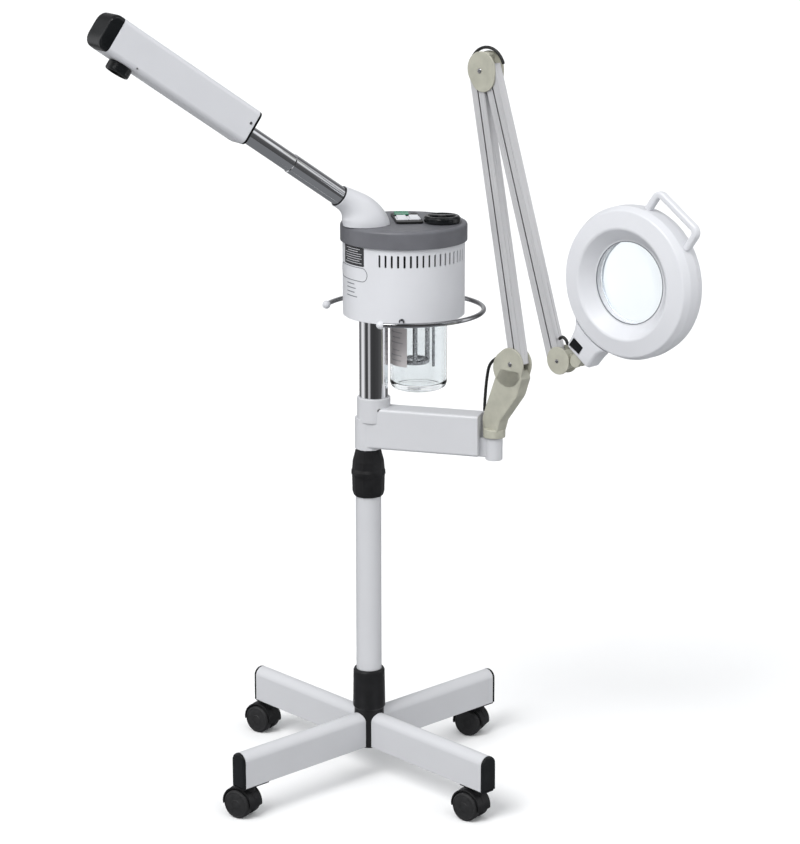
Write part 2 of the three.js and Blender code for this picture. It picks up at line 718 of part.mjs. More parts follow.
// Moulded elbow: round foot on the lid blending into an angled mouth.
const cosRise = Math.cos(rad(ARM_RISE));
const sinRise = Math.sin(rad(ARM_RISE));
const elbowSections = [];
const elbowSteps = 5;
const elbowSides = 18;
for (let s = 0; s <= elbowSteps; s += 1) {
  const t = s / elbowSteps;
  const ease = t * t * (3 - 2 * t);
  const ring1 = [];
  const tilt = (90 - ARM_RISE) * ease;
  const along = ELBOW_MOUTH * t;
  const cx = 4 * (1 - t) + along * cosRise * (0.35 + 0.65 * t);
  const cz = LID_TOP + 0.4 + (ARM_AXIS_Z + ELBOW_MOUTH * sinRise - LID_TOP - 0.4) * Math.pow(t, 0.85);
  const rx = 41 * (1 - ease) + 19.5 * ease;
  const ry = 34 * (1 - ease) + 19.5 * ease;
  for (let i = 0; i < elbowSides; i += 1) {
    const a = (i / elbowSides) * Math.PI * 2;
    const u = rx * Math.cos(a);
    const v = ry * Math.sin(a);
    ring1.push([cx + u * Math.cos(rad(tilt)), v, cz - u * Math.sin(rad(tilt))]);
  }
  elbowSections.push(ring1);
}
const seat = solidAlongArm(16.9, 40, ELBOW_MOUTH + 20, 24);
seat.rotateY(rad(-ARM_RISE));
seat.translate(0, 0, ARM_AXIS_Z);
const flow = solidAlongArm(11, 8, 60, 20);
flow.rotateY(rad(-ARM_RISE));
flow.translate(0, 0, ARM_AXIS_Z);
const elbow = cut(
  union(loft(elbowSections), cylinder(14, LID_TOP - 14, LID_TOP + 6, 0, 0, 18)),
  seat,
  flow,
  cylinder(10, LID_TOP - 20, ARM_AXIS_Z + 10, 0, 0, 16),
);
add("steam_elbow", elbow, WHITE, armPivot);

const steamTube = turned([
  [STEAM_TUBE_BORE, 44], [16.6, 44], [16.6, 176], [STEAM_TUBE_RADIUS, 177.5],
  [STEAM_TUBE_RADIUS, HEAD_START + 60], [STEAM_TUBE_BORE, HEAD_START + 60], [STEAM_TUBE_BORE, 44],
], 26);
steamTube.rotateY(Math.PI / 2);
add("steam_tube", steamTube, CHROME, alongArm);

// Spray head rolls about the tube.
const headPivot = pivot("pivot_spray_head", HEAD_START, 0, 0, alongArm);
const headMiddle = (HEAD_LOW + HEAD_HIGH) / 2;
const headHeight = HEAD_HIGH - HEAD_LOW;

function headPrism(inset, a0, a1, radius, curveSegments = 3) {
  const shape = roundedRectangle(HEAD_WIDTH - inset * 2, headHeight - inset * 2, radius, 0, headMiddle);
  const geometry = prism(shape, a1 - a0, curveSegments);
  geometry.rotateX(Math.PI / 2);
  geometry.rotateZ(Math.PI / 2);
  geometry.translate(a0 - HEAD_START, 0, 0);
  return geometry;
}

const bodyStart = HEAD_START + 6;
const bodyEnd = HEAD_END - 21;
const nozzleX = NOZZLE_AT - HEAD_START;
const sprayBody = cut(
  headPrism(0, bodyStart, bodyEnd, 9),
  headPrism(2.5, bodyStart - 5, bodyEnd + 5, 7),
  cylinder(13.4, HEAD_LOW - 5, HEAD_LOW + 8, nozzleX, 0, 20),
);
add("spray_body", sprayBody, WHITE, headPivot);

const rearCap = cut(
  union(
    headPrism(0.4, HEAD_START + 1.5, bodyStart - 0.3, 9),
    headPrism(2.9, bodyStart - 1, bodyStart + 9, 6.5),
  ),
  solidAlongArm(STEAM_TUBE_RADIUS + 0.4, -20, 40),
);
add("spray_rear_cap", rearCap, BLACK, headPivot);

const capSections = [
  [0, bodyEnd + 0.3], [0.3, HEAD_END - 10], [2.5, HEAD_END - 3.5], [7, HEAD_END],
].map(([inset, a]) => {
  const shape = roundedRectangle(HEAD_WIDTH - inset * 2, headHeight - inset * 2, 9, 0, headMiddle);
  return shape.getPoints(3).slice(0, -1).map((p) => [a - HEAD_START, p.x, p.y]);
});
const frontCap = union(loft(capSections), headPrism(2.9, bodyEnd - 12, bodyEnd + 2, 6.5));
add("spray_front_cap", frontCap, BLACK, headPivot);

// Steam outlet that turns under the head.
const nozzlePivot = pivot("pivot_spray_nozzle", nozzleX, 0, 0, headPivot);
const nozzle = turned([
  [7, HEAD_LOW + 12], [13, HEAD_LOW + 12], [13, HEAD_LOW - 0.4],
  [NOZZLE_RADIUS - 1, HEAD_LOW - 0.4], [NOZZLE_RADIUS, HEAD_LOW - 2],
  [NOZZLE_RADIUS, HEAD_LOW - 14], [NOZZLE_RADIUS - 1.2, HEAD_LOW - 15.5],
  [NOZZLE_RADIUS - 4, HEAD_LOW - 15.5], [NOZZLE_RADIUS - 5, HEAD_LOW - 8],
  [7, HEAD_LOW - 5], [7, HEAD_LOW + 12],
], 18);
add("spray_nozzle", nozzle, BLACK, nozzlePivot);

// ---------------------------------------------------------------------------
// Magnifying lamp. Local X runs away from the socket, -Y is the reading side.
// ---------------------------------------------------------------------------

const lamp = pivot("pivot_lamp_swivel", socketX, socketY, 0, carriage);
lamp.rotation.z = rad(LAMP_TURN);

function pairAround(cx, cz, tilt) {
  const dx = (PIVOT_SPACING / 2) * Math.cos(rad(tilt));
  const dz = (PIVOT_SPACING / 2) * Math.sin(rad(tilt));
  return [[cx - dx, cz - dz], [cx + dx, cz + dz]];
}

const lowerTop = pairAround(ELBOW_X - 16, ELBOW_Z, LOWER_PIVOT_TILT);
const lowerStep = [ARM_LENGTH * Math.sin(rad(LOWER_LEAN)), -ARM_LENGTH * Math.cos(rad(LOWER_LEAN))];
const lowerFoot = lowerTop.map(([x, z]) => [x + lowerStep[0], z + lowerStep[1]]);
const upperTop = pairAround(ELBOW_X + 14, ELBOW_Z, UPPER_PIVOT_TILT);
const upperStep = [ARM_LENGTH * Math.sin(rad(UPPER_LEAN)), -ARM_LENGTH * Math.cos(rad(UPPER_LEAN))];
const upperFoot = upperTop.map(([x, z]) => [x + upperStep[0], z + upperStep[1]]);

const DISC_INNER = BAR_DEPTH / 2 + 0.4;
const DISC_OUTER = DISC_INNER + 2.8;

function crossPin(radius, half, x, z, segments = 10) {
  const geometry = new THREE.CylinderGeometry(radius, radius, half * 2, segments);
  geometry.translate(x, 0, z);
  return geometry;
}

function sideDisc(side, radius, x, z) {
  const geometry = new THREE.CylinderGeometry(radius, radius, DISC_OUTER - DISC_INNER, 26);
  geometry.translate(x, (side * (DISC_OUTER + DISC_INNER)) / 2, z);
  return geometry;
}

// Side plate: a disc that runs on down to a second one, offset across and down from it.
function eggPlate(side, radius, x, z, [across, down, foot]) {
  const outline = [];
  for (let i = 0; i < 30; i += 1) {
    const u = Math.cos(rad(i * 12));
    const v = Math.sin(rad(i * 12));
    const lower = across * u - down * v + foot > radius;
    outline.push(lower ? [x + across + foot * u, z - down + foot * v] : [x + radius * u, z + radius * v]);
  }
  const plate = slab(polygon(outline), DISC_OUTER - DISC_INNER);
  plate.translate(0, (side * (DISC_OUTER + DISC_INNER)) / 2, 0);
  return plate;
}

// Channel bar from one pivot to the other. openSide is +1 or -1 along the bar's own X, which
// points away from the socket on a bar drawn upwards and towards it on a bar drawn downwards.
function channelBar(openSide, fromX, fromZ, toX, toZ) {
  const length = Math.hypot(toX - fromX, toZ - fromZ);
  const w = BAR_WIDTH / 2;
  const d = BAR_DEPTH / 2;
  const back = -openSide * w;
  const floor = -openSide * (w - BAR_WALL);
  const lip = openSide * w;
  const section = polygon([
    [back, -d], [lip, -d], [lip, -d + BAR_WALL], [floor, -d + BAR_WALL],
    [floor, d - BAR_WALL], [lip, d - BAR_WALL], [lip, d], [back, d],
  ]);
  const bar = prism(section, length + BAR_OVERRUN * 2, 2);
  bar.translate(0, 0, -BAR_OVERRUN);
  const drilled = cut(
    bar,
    crossPin(2.9, 30, 0, 0, 8),
    crossPin(2.9, 30, 0, length, 8),
  );
  const geometry = geometryOf(drilled);
  geometry.rotateY(Math.atan2(toX - fromX, toZ - fromZ));
  return geometry;
}

// Forked foot that stands in the bracket socket.
const yokeNeck = slab(polygon([
  [-16, 648], [16, 648], [22, 668], [58, 716], [69, 748],
  [64, 762], [22, 762], [10, 742], [-10, 690], [-17, 668],
]), DISC_OUTER * 2);
const lowerPins = lowerFoot.map(([x, z]) => crossPin(2.5, DISC_OUTER - 0.5, x, z));
const yoke = union(
  cylinder(7.9, SOCKET_BOTTOM + 6, SOCKET_TOP + 6, 0, 0, 16),
  cylinder(19, SOCKET_TOP + 0.6, SOCKET_TOP + 16, 0, 0, 24),
  yokeNeck,
  eggPlate(-1, YOKE_DISC, YOKE_X, YOKE_Z, YOKE_EGG),
  eggPlate(1, YOKE_DISC, YOKE_X, YOKE_Z, YOKE_EGG),
);
const yokeClear = slab(polygon([[10, 764.5], [86, 764.5], [86, 830], [10, 830]]), DISC_INNER * 2);
add("lamp_yoke", union(cut(yoke, yokeClear), ...lowerPins), BEIGE, lamp);

// Lower arm: two channel bars side by side.
const lowerA = pivot("pivot_lower_bar_a", lowerFoot[0][0], 0, lowerFoot[0][1], lamp);
add("lower_bar_a", channelBar(1, ...lowerFoot[0], ...lowerTop[0]), ALUMINIUM, lowerA);
const lowerB = pivot("pivot_lower_bar_b", lowerFoot[1][0], 0, lowerFoot[1][1], lamp);
add("lower_bar_b", channelBar(-1, ...lowerFoot[1], ...lowerTop[1]), ALUMINIUM, lowerB);

// Elbow drum that keeps its attitude while the arms swing.
function pivotAt(name, [x, z], [fromX, fromZ], parent) {
  return pivot(name, x - fromX, 0, z - fromZ, parent);
}

const elbowPivot = pivotAt("pivot_lamp_elbow", lowerTop[0], lowerFoot[0], lowerA);
const elbowLift = new THREE.Vector3(-lowerTop[0][0], 0, -lowerTop[0][1]);
const drumCore = common(
  box(24, DISC_INNER * 2 + 1, 30, ELBOW_X - 2, 0, ELBOW_Z + 25),
  crossPin(ELBOW_DISC - 1.5, DISC_INNER + 0.5, ELBOW_X, ELBOW_Z, 26),
);

const lampElbow = geometryOf(union(
  eggPlate(-1, ELBOW_DISC - 1.5, ELBOW_X, ELBOW_Z + 1.5, ELBOW_EGG),
  eggPlate(1, ELBOW_DISC - 1.5, ELBOW_X, ELBOW_Z + 1.5, ELBOW_EGG),
  drumCore,
  ...lowerTop.map(([x, z]) => crossPin(2.5, DISC_OUTER - 0.5, x, z)),
  ...upperTop.map(([x, z]) => crossPin(2.5, DISC_OUTER - 0.5, x, z)),
));
lampElbow.translate(elbowLift.x, 0, elbowLift.z);
add("lamp_elbow", lampElbow, BEIGE, elbowPivot);

// Upper arm.
const upperA = pivotAt("pivot_upper_bar_a", upperTop[0], lowerTop[0], elbowPivot);
add("upper_bar_a", channelBar(-1, ...upperTop[0], ...upperFoot[0]), ALUMINIUM, upperA);
const upperB = pivotAt("pivot_upper_bar_b", upperTop[1], lowerTop[0], elbowPivot);
add("upper_bar_b", channelBar(1, ...upperTop[1], ...upperFoot[1]), ALUMINIUM, upperB);

// Knuckle at the lower end of the upper arm.
const knucklePivot = pivotAt("pivot_lamp_knuckle", upperFoot[0], upperTop[0], upperA);
const knuckleWeb = slab(polygon([
  [152, 779], [160, 779], [167, 785], [167, 809], [158, 811], [152, 811],
]), DISC_INNER * 2 + 1);
const knuckleTongue = slab(polygon([[155, 788], [180, 788], [180, 806], [155, 806]]), 8);
const knuckle = geometryOf(cut(
  union(
    sideDisc(-1, KNUCKLE_DISC, KNUCKLE_X, KNUCKLE_Z),
    sideDisc(1, KNUCKLE_DISC, KNUCKLE_X, KNUCKLE_Z),
    common(knuckleWeb, crossPin(KNUCKLE_DISC - 0.8, 30, KNUCKLE_X, KNUCKLE_Z, 26)),
    knuckleTongue,
    crossPin(9, 4, TILT_X, TILT_Z, 18),
    ...upperFoot.map(([x, z]) => crossPin(2.5, DISC_OUTER - 0.5, x, z)),
  ),
  crossPin(3.4, 30, TILT_X, TILT_Z, 12),
));
knuckle.translate(-upperFoot[0][0], 0, -upperFoot[0][1]);
add("lamp_knuckle", knuckle, BEIGE, knucklePivot);

// Neck block: tilts on the knuckle tongue and carries the spigot the head rolls on.
const tiltPoint = [TILT_X, TILT_Z];
const tiltPivot = pivotAt("pivot_lamp_tilt", tiltPoint, upperFoot[0], knucklePivot);
const neckAngle = Math.atan2(LENS_Z - tiltPoint[1], LENS_X - tiltPoint[0]);
const neckLength = Math.hypot(LENS_Z - tiltPoint[1], LENS_X - tiltPoint[0]);

// Head frame: +X runs from the tilt axis to the lens centre.
const headFrame = pivot("pivot_lamp_roll", 0, 0, 0, tiltPivot);
headFrame.rotation.y = -neckAngle;
const blockOuter = union(
  crossPin(10, 12, 0, 0, 18),
  box(12.4, 24, 19.6, 6.2, 0, 0),
);
const spigot = new THREE.CylinderGeometry(6, 6, 33.5, 14);
spigot.rotateZ(Math.PI / 2);
spigot.translate(27.25, 0, 0);
const neckBlock = union(
  cut(blockOuter, crossPin(9.8, 4.4, 0, 0, 18), box(22.4, 8.8, 24, -2.4, 0, 2.6)),
  crossPin(3, 8, 0, 0, 12),
  spigot,
);
add("lamp_neck_block", neckBlock, BEIGE, headFrame);

// Lamp head shell: ring channel, funnel to the lens, moulded neck and handle.
const shellRing = new THREE.LatheGeometry([
  [LENS_RADIUS + 0.4, -9], [LENS_RADIUS + 3.5, -9], [88, -30], [SHELL_RADIUS - 2, -23],
  [SHELL_RADIUS + 2.6, -10], [SHELL_RADIUS + 2.6, 6], [SHELL_RADIUS, 20], [SHELL_RADIUS - 3, 20],
  [SHELL_RADIUS - 0.6, 5], [SHELL_RADIUS - 0.6, -9], [SHELL_RADIUS - 3.4, -19], [89, -26],
  [LENS_RADIUS + 4, -5], [LENS_RADIUS + 4, 14], [LENS_RADIUS - 1.5, 14], [LENS_RADIUS - 1.5, 11],
  [LENS_RADIUS + 0.4, 11], [LENS_RADIUS + 0.4, -9],
].map(([r, y]) => new THREE.Vector2(r, y)), 30);
shellRing.translate(neckLength, 0, 0);
const neckSection = (at, halfWide, y0, y1) => [
  [at, y0, -halfWide], [at, y1, -halfWide], [at, y1, halfWide], [at, y0, halfWide],
];
const neck = loft([
  neckSection(13, 28, -17, 15),
  neckSection(46, 29, -21, 17),
  neckSection(neckLength - SHELL_RADIUS + 8, 42, -24, 18.5),
]);
const handleOuter = slab(roundedRectangle(44, 104, 12, SHELL_RADIUS + 12, 0), 13, 3);
const handleInner = slab(roundedRectangle(30, 80, 8, SHELL_RADIUS + 8.5, 0), 30, 3);
const handleTurn = rad(HANDLE_ANGLE) - neckAngle;
const handle = geometryOf(cut(handleOuter, handleInner, crossPin(SHELL_RADIUS - 0.2, 30, 0, 0, 30)));
handle.rotateY(-handleTurn);
handle.translate(neckLength, 0, 0);
const neckBore = new THREE.CylinderGeometry(6.4, 6.4, 44, 14);
neckBore.rotateZ(Math.PI / 2);
neckBore.translate(24, 0, 0);
const neckTrimmed = cut(neck, box(40, 80, 120, neckLength - SHELL_RADIUS + 22, 0, 0));
const switchWell = box(17, 6, 24, 28, -19, 10);
const lampShell = cut(union(shellRing, neckTrimmed, handle), neckBore, switchWell);
add("lamp_shell", lampShell, WHITE, headFrame);

const lens = new THREE.LatheGeometry([
  [0, -7], [25, -6.2], [48, -4.2], [LENS_RADIUS, -2], [LENS_RADIUS, 4], [48, 6.2], [25, 8.2], [0, 9],
].map(([r, y]) => new THREE.Vector2(r, y + 3)), 26);
lens.translate(neckLength, 0, 0);
add("lamp_lens", lens, CLEAR, headFrame);

const lampTube = new THREE.TorusGeometry(TUBE_RING_RADIUS, TUBE_ROD, 8, 24);
lampTube.rotateX(Math.PI / 2);
lampTube.translate(neckLength, 2, 0);
add("lamp_ring_tube", lampTube, WHITE, headFrame);

const lampSwitchPivot = pivot("pivot_lamp_switch", 28, -17.8, 10, headFrame);
const switchProfile = polygon([
  [-10.8, 0.6], [0, 1.4], [10.8, -2.2], [10.8, -4.6], [0, -2.2], [-10.8, -1.2],
]);
const lampSwitch = prism(switchProfile, 14.6, 2);
lampSwitch.translate(0, 0, -7.3);
lampSwitch.rotateY(Math.PI / 2);
add("lamp_switch", lampSwitch, BLACK, lampSwitchPivot);

// Lead loops that bridge the lamp joints.
const baseLead = rod([
  [17, 0, 779], [2, 0, 772], [-12, 0, 757], [-18, 0, 730], [-21, 0, 700], [-22, 0, 679],
], 2.6, 12, 6);
add("lead_base", baseLead, RUBBER, lamp);

const leadLoop = ELBOW_DISC + 5.5;
const elbowLeadPoints = [];
for (let i = 0; i <= 8; i += 1) {
  const a = rad(166 - i * 18);
  elbowLeadPoints.push([
    ELBOW_X + leadLoop * Math.cos(a) - lowerTop[0][0],
    4,
    ELBOW_Z + leadLoop * Math.sin(a) - lowerTop[0][1],
  ]);
}
add("lead_elbow", rod(elbowLeadPoints, 2.6, 14, 6), RUBBER, elbowPivot);

const headLead = rod([
  [141 - upperFoot[0][0], -3, 828 - upperFoot[0][1]],
  [147 - upperFoot[0][0], -3, 831.5 - upperFoot[0][1]],
  [154 - upperFoot[0][0], -3, 828 - upperFoot[0][1]],
  [157.5 - upperFoot[0][0], -3, 822 - upperFoot[0][1]],
], 2.6, 8, 6);
add("lead_head", headLead, RUBBER, knucklePivot);

// ---------------------------------------------------------------------------
// Recentre: middle of the bounding box over the origin, wheels on z = 0
// ---------------------------------------------------------------------------

group.updateMatrixWorld(true);
const bounds = new THREE.Box3().setFromObject(group, true);
const middle = bounds.getCenter(new THREE.Vector3());
group.position.set(-middle.x, -middle.y, -bounds.min.z);
group.updateMatrixWorld(true);

export default group;
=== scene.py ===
import json
import math

import bmesh
import bpy
from mathutils import Matrix, Vector


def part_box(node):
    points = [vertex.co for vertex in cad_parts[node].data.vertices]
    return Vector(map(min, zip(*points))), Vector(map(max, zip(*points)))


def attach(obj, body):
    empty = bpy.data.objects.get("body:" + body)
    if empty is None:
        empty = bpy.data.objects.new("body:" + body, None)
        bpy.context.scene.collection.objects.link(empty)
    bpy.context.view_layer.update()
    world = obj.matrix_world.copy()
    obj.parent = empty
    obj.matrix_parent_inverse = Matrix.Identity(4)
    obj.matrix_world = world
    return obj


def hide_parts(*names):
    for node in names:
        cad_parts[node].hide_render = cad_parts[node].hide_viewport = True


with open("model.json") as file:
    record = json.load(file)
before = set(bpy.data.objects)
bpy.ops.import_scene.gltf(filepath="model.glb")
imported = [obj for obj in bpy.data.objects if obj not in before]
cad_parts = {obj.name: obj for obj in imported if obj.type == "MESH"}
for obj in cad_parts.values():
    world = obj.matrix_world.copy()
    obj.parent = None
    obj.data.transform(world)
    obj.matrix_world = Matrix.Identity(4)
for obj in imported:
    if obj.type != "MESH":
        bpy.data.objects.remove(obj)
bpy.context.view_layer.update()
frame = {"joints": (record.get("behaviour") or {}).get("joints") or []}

MM = 0.001
UP = Vector((0, 0, 1))
joints = {joint["name"]: joint for joint in frame["joints"]}


# ---------------------------------------------------------------------------
# Places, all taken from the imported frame
# ---------------------------------------------------------------------------


def joint_point(name):
    return Vector(joints[name]["pos_m"])


def joint_axis(name):
    return Vector(joints[name]["axis"]).normalized()


def box_middle(node):
    low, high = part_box(node)
    return (low + high) / 2


def level(point, height=0.0):
    return Vector((point.x, point.y, height))


def axes(origin, x=None, y=None, z=None):
    """Right-handed frame at origin from any two of its axes."""
    if x is None:
        x = y.cross(z)
    elif y is None:
        y = z.cross(x)
    elif z is None:
        z = x.cross(y)
    matrix = Matrix((x.normalized(), y.normalized(), z.normalized())).transposed().to_4x4()
    matrix.translation = origin
    return matrix


def shift(x=0.0, y=0.0, z=0.0):
    return Matrix.Translation(Vector((x, y, z)) * MM)


def turn(degrees, axis="Z"):
    return Matrix.Rotation(math.radians(degrees), 4, axis)


COLUMN = Matrix.Translation(level(box_middle("column_lower_tube")))
HOUSING = Matrix.Translation(level(box_middle("housing_shell")))
POST = Matrix.Translation(level(box_middle("steamer_post")))
FILLER = Matrix.Translation(level(box_middle("filler_cap")))
JAR = Matrix.Translation(level(joint_point("jar_twist")))
COLUMN_INVERSE = COLUMN.inverted()


# ---------------------------------------------------------------------------
# Mesh tools. Lengths are in millimetres in the piece's own frame.
# ---------------------------------------------------------------------------


def build(name, points, faces):
    mesh = bpy.data.meshes.new(name)
    mesh.from_pydata([Vector(p) * MM for p in points], [], faces)
    work = bmesh.new()
    work.from_mesh(mesh)
    bmesh.ops.remove_doubles(work, verts=work.verts, dist=1e-7)
    bmesh.ops.recalc_face_normals(work, faces=work.faces)
    work.to_mesh(mesh)
    work.free()
    piece = bpy.data.objects.new(name, mesh)
    bpy.context.scene.collection.objects.link(piece)
    return piece


def rounded(corners, closed=True, steps=5):
    """Corner points (x, y) or (x, y, radius) as a fine line with its corners rounded."""
    line = []
    count = len(corners)
    for i, corner in enumerate(corners):
        radius = corner[2] if len(corner) > 2 else 0
        point = Vector(corner[:2])
        if radius <= 0 or (not closed and i in (0, count - 1)):
            line.append(tuple(point))
            continue
        before = Vector(corners[i - 1][:2]) - point
        after = Vector(corners[(i + 1) % count][:2]) - point
        room = min(before.length, after.length) * 0.49
        before.normalize()
        after.normalize()
        opening = before.angle(after)
        if opening > math.pi - 0.01:
            line.append(tuple(point))
            continue
        reach = min(radius / math.tan(opening / 2), room)
        radius = reach * math.tan(opening / 2)
        centre = point + (before + after).normalized() * (radius / math.sin(opening / 2))
        first = point + before * reach - centre
        last = point + after * reach - centre
        start = math.atan2(first.y, first.x)
        sweep_angle = math.atan2(last.y, last.x) - start
        sweep_angle = (sweep_angle + math.pi) % (2 * math.pi) - math.pi
        for k in range(steps + 1):
            a = start + sweep_angle * k / steps
            line.append((centre.x + radius * math.cos(a), centre.y + radius * math.sin(a)))
    return line


def rectangle(width, height, radius, x=0.0, y=0.0, steps=6):
    w, h = width / 2, height / 2
    corners = [(x - w, y - h, radius), (x + w, y - h, radius), (x + w, y + h, radius), (x - w, y + h, radius)]
    return rounded(corners, steps=steps)


def circle(radius, x=0.0, y=0.0, count=64, start=0.0, end=360.0):
    whole = abs(end - start) > 359.9
    steps = count if whole else count - 1
    points = []
    for k in range(count):
        a = math.radians(start + (end - start) * k / steps)
        points.append((x + radius * math.cos(a), y + radius * math.sin(a)))
    return points


def hull(points):
    """Convex outline round a set of points."""
    ordered = sorted(set((round(x, 4), round(y, 4)) for x, y in points))

    def half(sequence):
        chain = []
        for p in sequence:
            while len(chain) > 1:
                (ax, ay), (bx, by) = chain[-2], chain[-1]
                if (bx - ax) * (p[1] - ay) - (by - ay) * (p[0] - ax) > 1e-9:
                    break
                chain.pop()
            chain.append(p)
        return chain[:-1]

    return half(ordered) + half(ordered[::-1])


def inset(outline, distance):
    if distance == 0:
        return list(outline)
    count = len(outline)
    area = sum(
        outline[i][0] * outline[(i + 1) % count][1] - outline[(i + 1) % count][0] * outline[i][1]
        for i in range(count)
    )
    sign = 1 if area > 0 else -1
    moved = []
    for i in range(count):
        here = Vector(outline[i])
        ahead = (Vector(outline[(i + 1) % count]) - here).normalized()
        behind = (here - Vector(outline[i - 1])).normalized()
        first = Vector((-behind.y, behind.x)) * sign
        second = Vector((-ahead.y, ahead.x)) * sign
        middle = (first + second).normalized() if (first + second).length > 1e-6 else first
        moved.append(tuple(here + middle * (distance / max(0.4, middle.dot(first)))))
    return moved


def along(axis, u, v, height):
    if axis == "X":
        return (height, u, v)
    if axis == "Y":
        return (u, height, v)
    return (u, v, height)


def skin(name, rings, caps=True, closed=False):
    """Surface through equally sampled closed rings."""
    count = len(rings[0])
    points = [p for ring in rings for p in ring]
    faces = []
    steps = len(rings) if closed else len(rings) - 1
    for s in range(steps):
        t = (s + 1) % len(rings)
        for k in range(count):
            j = (k + 1) % count
            faces.append((s * count + k, s * count + j, t * count + j, t * count + k))
    if caps and not closed:
        faces.append(tuple(range(count))[::-1])
        faces.append(tuple(range((len(rings) - 1) * count, len(rings) * count)))
    return build(name, points, faces)


def prism(name, outline, low, high, edge=0.0, axis="Z", steps=3):
    """Outline given thickness along an axis. edge rounds the rims: one size, or (low rim, high rim)."""
    low_edge, high_edge = edge if isinstance(edge, tuple) else (edge, edge)
    rings = []
    if low_edge > 0:
        for k in range(steps + 1):
            a = math.pi / 2 * k / steps
            line = inset(outline, low_edge * (1 - math.sin(a)))
            rings.append([along(axis, u, v, low + low_edge * (1 - math.cos(a))) for u, v in line])
    else:
        rings.append([along(axis, u, v, low) for u, v in outline])
    if high_edge > 0:
        for k in range(steps + 1):
            a = math.pi / 2 * (1 - k / steps)
            line = inset(outline, high_edge * (1 - math.sin(a)))
            rings.append([along(axis, u, v, high - high_edge * (1 - math.cos(a))) for u, v in line])
    else:
        rings.append([along(axis, u, v, high) for u, v in outline])
    return skin(name, rings)


def lathe(name, profile, segments=72, axis="Z", shape=None):
    """Body of revolution from (radius, height) points. Its ends are closed across if they are off the axis."""
    points, rows = [], []
    for radius, height in profile:
        if radius < 1e-6:
            rows.append([len(points)])
            points.append(along(axis, 0, 0, height))
            continue
        rows.append(list(range(len(points), len(points) + segments)))
        for k in range(segments):
            a = 2 * math.pi * k / segments
            r = shape(radius, height, a) if shape else radius
            points.append(along(axis, r * math.cos(a), r * math.sin(a), height))
    pairs = list(zip(rows, rows[1:]))
    if len(rows[0]) > 1 or len(rows[-1]) > 1:
        pairs.append((rows[-1], rows[0]))
    faces = []
    for a, b in pairs:
        for k in range(segments):
            j = (k + 1) % segments
            if len(a) == 1 and len(b) == 1:
                break
            if len(a) == 1:
                faces.append((a[0], b[k], b[j]))
            elif len(b) == 1:
                faces.append((a[k], b[0], a[j]))
            else:
                faces.append((a[k], a[j], b[j], b[k]))
    return build(name, points, faces)


def flowing(knots, per=8):
    """Smooth line through a list of 3-D points."""
    knots = [Vector(k) for k in knots]
    padded = [knots[0] * 2 - knots[1]] + knots + [knots[-1] * 2 - knots[-2]]
    line = []
    for i in range(1, len(padded) - 2):
        a, b, c, d = padded[i - 1 : i + 3]
        for k in range(per):
            t = k / per
            line.append(
                0.5 * (2 * b + (c - a) * t + (2 * a - 5 * b + 4 * c - d) * t**2 + (3 * b - a - 3 * c + d) * t**3)
            )
    line.append(knots[-1])
    return line


def sweep(name, path, section, up=None, closed=False):
    """Section (side, up) carried along a path. With no up direction it turns as little as it can."""
    path = [Vector(p) for p in path]
    count = len(path)
    rings = []
    side = None
    for i, here in enumerate(path):
        ahead = path[(i + 1) % count] if closed or i < count - 1 else here
        behind = path[i - 1] if closed or i > 0 else here
        tangent = (ahead - behind).normalized()
        if up is not None:
            side = tangent.cross(Vector(up)).normalized()
        elif side is None:
            helper = Vector((0, 0, 1)) if abs(tangent.z) < 0.9 else Vector((1, 0, 0))
            side = tangent.cross(helper).normalized()
        else:
            side = (side - tangent * side.dot(tangent)).normalized()
        lift = side.cross(tangent).normalized()
        shape = section(i / (count - 1)) if callable(section) else section
        rings.append([tuple(here + side * a + lift * b) for a, b in shape])
    return skin(name, rings, closed=closed)


def rod(name, path, radius, sides=20, closed=False, dome=True):
    """Round bar along a path, with domed ends."""
    path = [Vector(p) for p in path]
    if closed or not dome:
        return sweep(name, path, circle(radius, count=sides), closed=closed)
    line, sizes = [], []
    start, end = (path[0] - path[1]).normalized(), (path[-1] - path[-2]).normalized()
    for k in range(5):
        a = math.pi / 2 * k / 5 + 0.12
        line.append(path[0] + start * radius * math.cos(a) * 0.9)
        sizes.append(radius * math.sin(a))
    line += path
    sizes += [radius] * len(path)
    for k in range(4, -1, -1):
        a = math.pi / 2 * k / 5 + 0.12
        line.append(path[-1] + end * radius * math.cos(a) * 0.9)
        sizes.append(radius * math.sin(a))
    last = len(line) - 1
    return sweep(name, line, lambda t: circle(sizes[round(t * last)], count=sides))


def moved(piece, matrix):
    piece.data.transform(matrix)
    return piece


def bake(piece):
    graph = bpy.context.evaluated_depsgraph_get()
    graph.update()
    mesh = bpy.data.meshes.new_from_object(piece.evaluated_get(graph))
    piece.modifiers.clear()
    piece.data = mesh
    return piece


def drop(piece):
    bpy.data.objects.remove(piece)


def combine(piece, operation, *tools):
    for tool in tools:
        modifier = piece.modifiers.new(operation.lower(), "BOOLEAN")
        modifier.operation = operation
        modifier.solver = "EXACT"
        modifier.object = tool
    bake(piece)
    for tool in tools:
        drop(tool)
    return piece


def cut(piece, *tools):
    return combine(piece, "DIFFERENCE", *tools)


def weld(piece, *tools):
    return combine(piece, "UNION", *tools)


def group(name, *parts):
    """Several shapes as one piece."""
    points, faces = [], []
    for part in parts:
        start = len(points)
        points += [v.co / MM for v in part.data.vertices]
        faces += [tuple(start + i for i in p.vertices) for p in part.data.polygons]
    mesh = bpy.data.meshes.new(name)
    mesh.from_pydata([p * MM for p in points], [], faces)
    piece = bpy.data.objects.new(name, mesh)
    bpy.context.scene.collection.objects.link(piece)
    for part in parts:
        drop(part)
    return piece


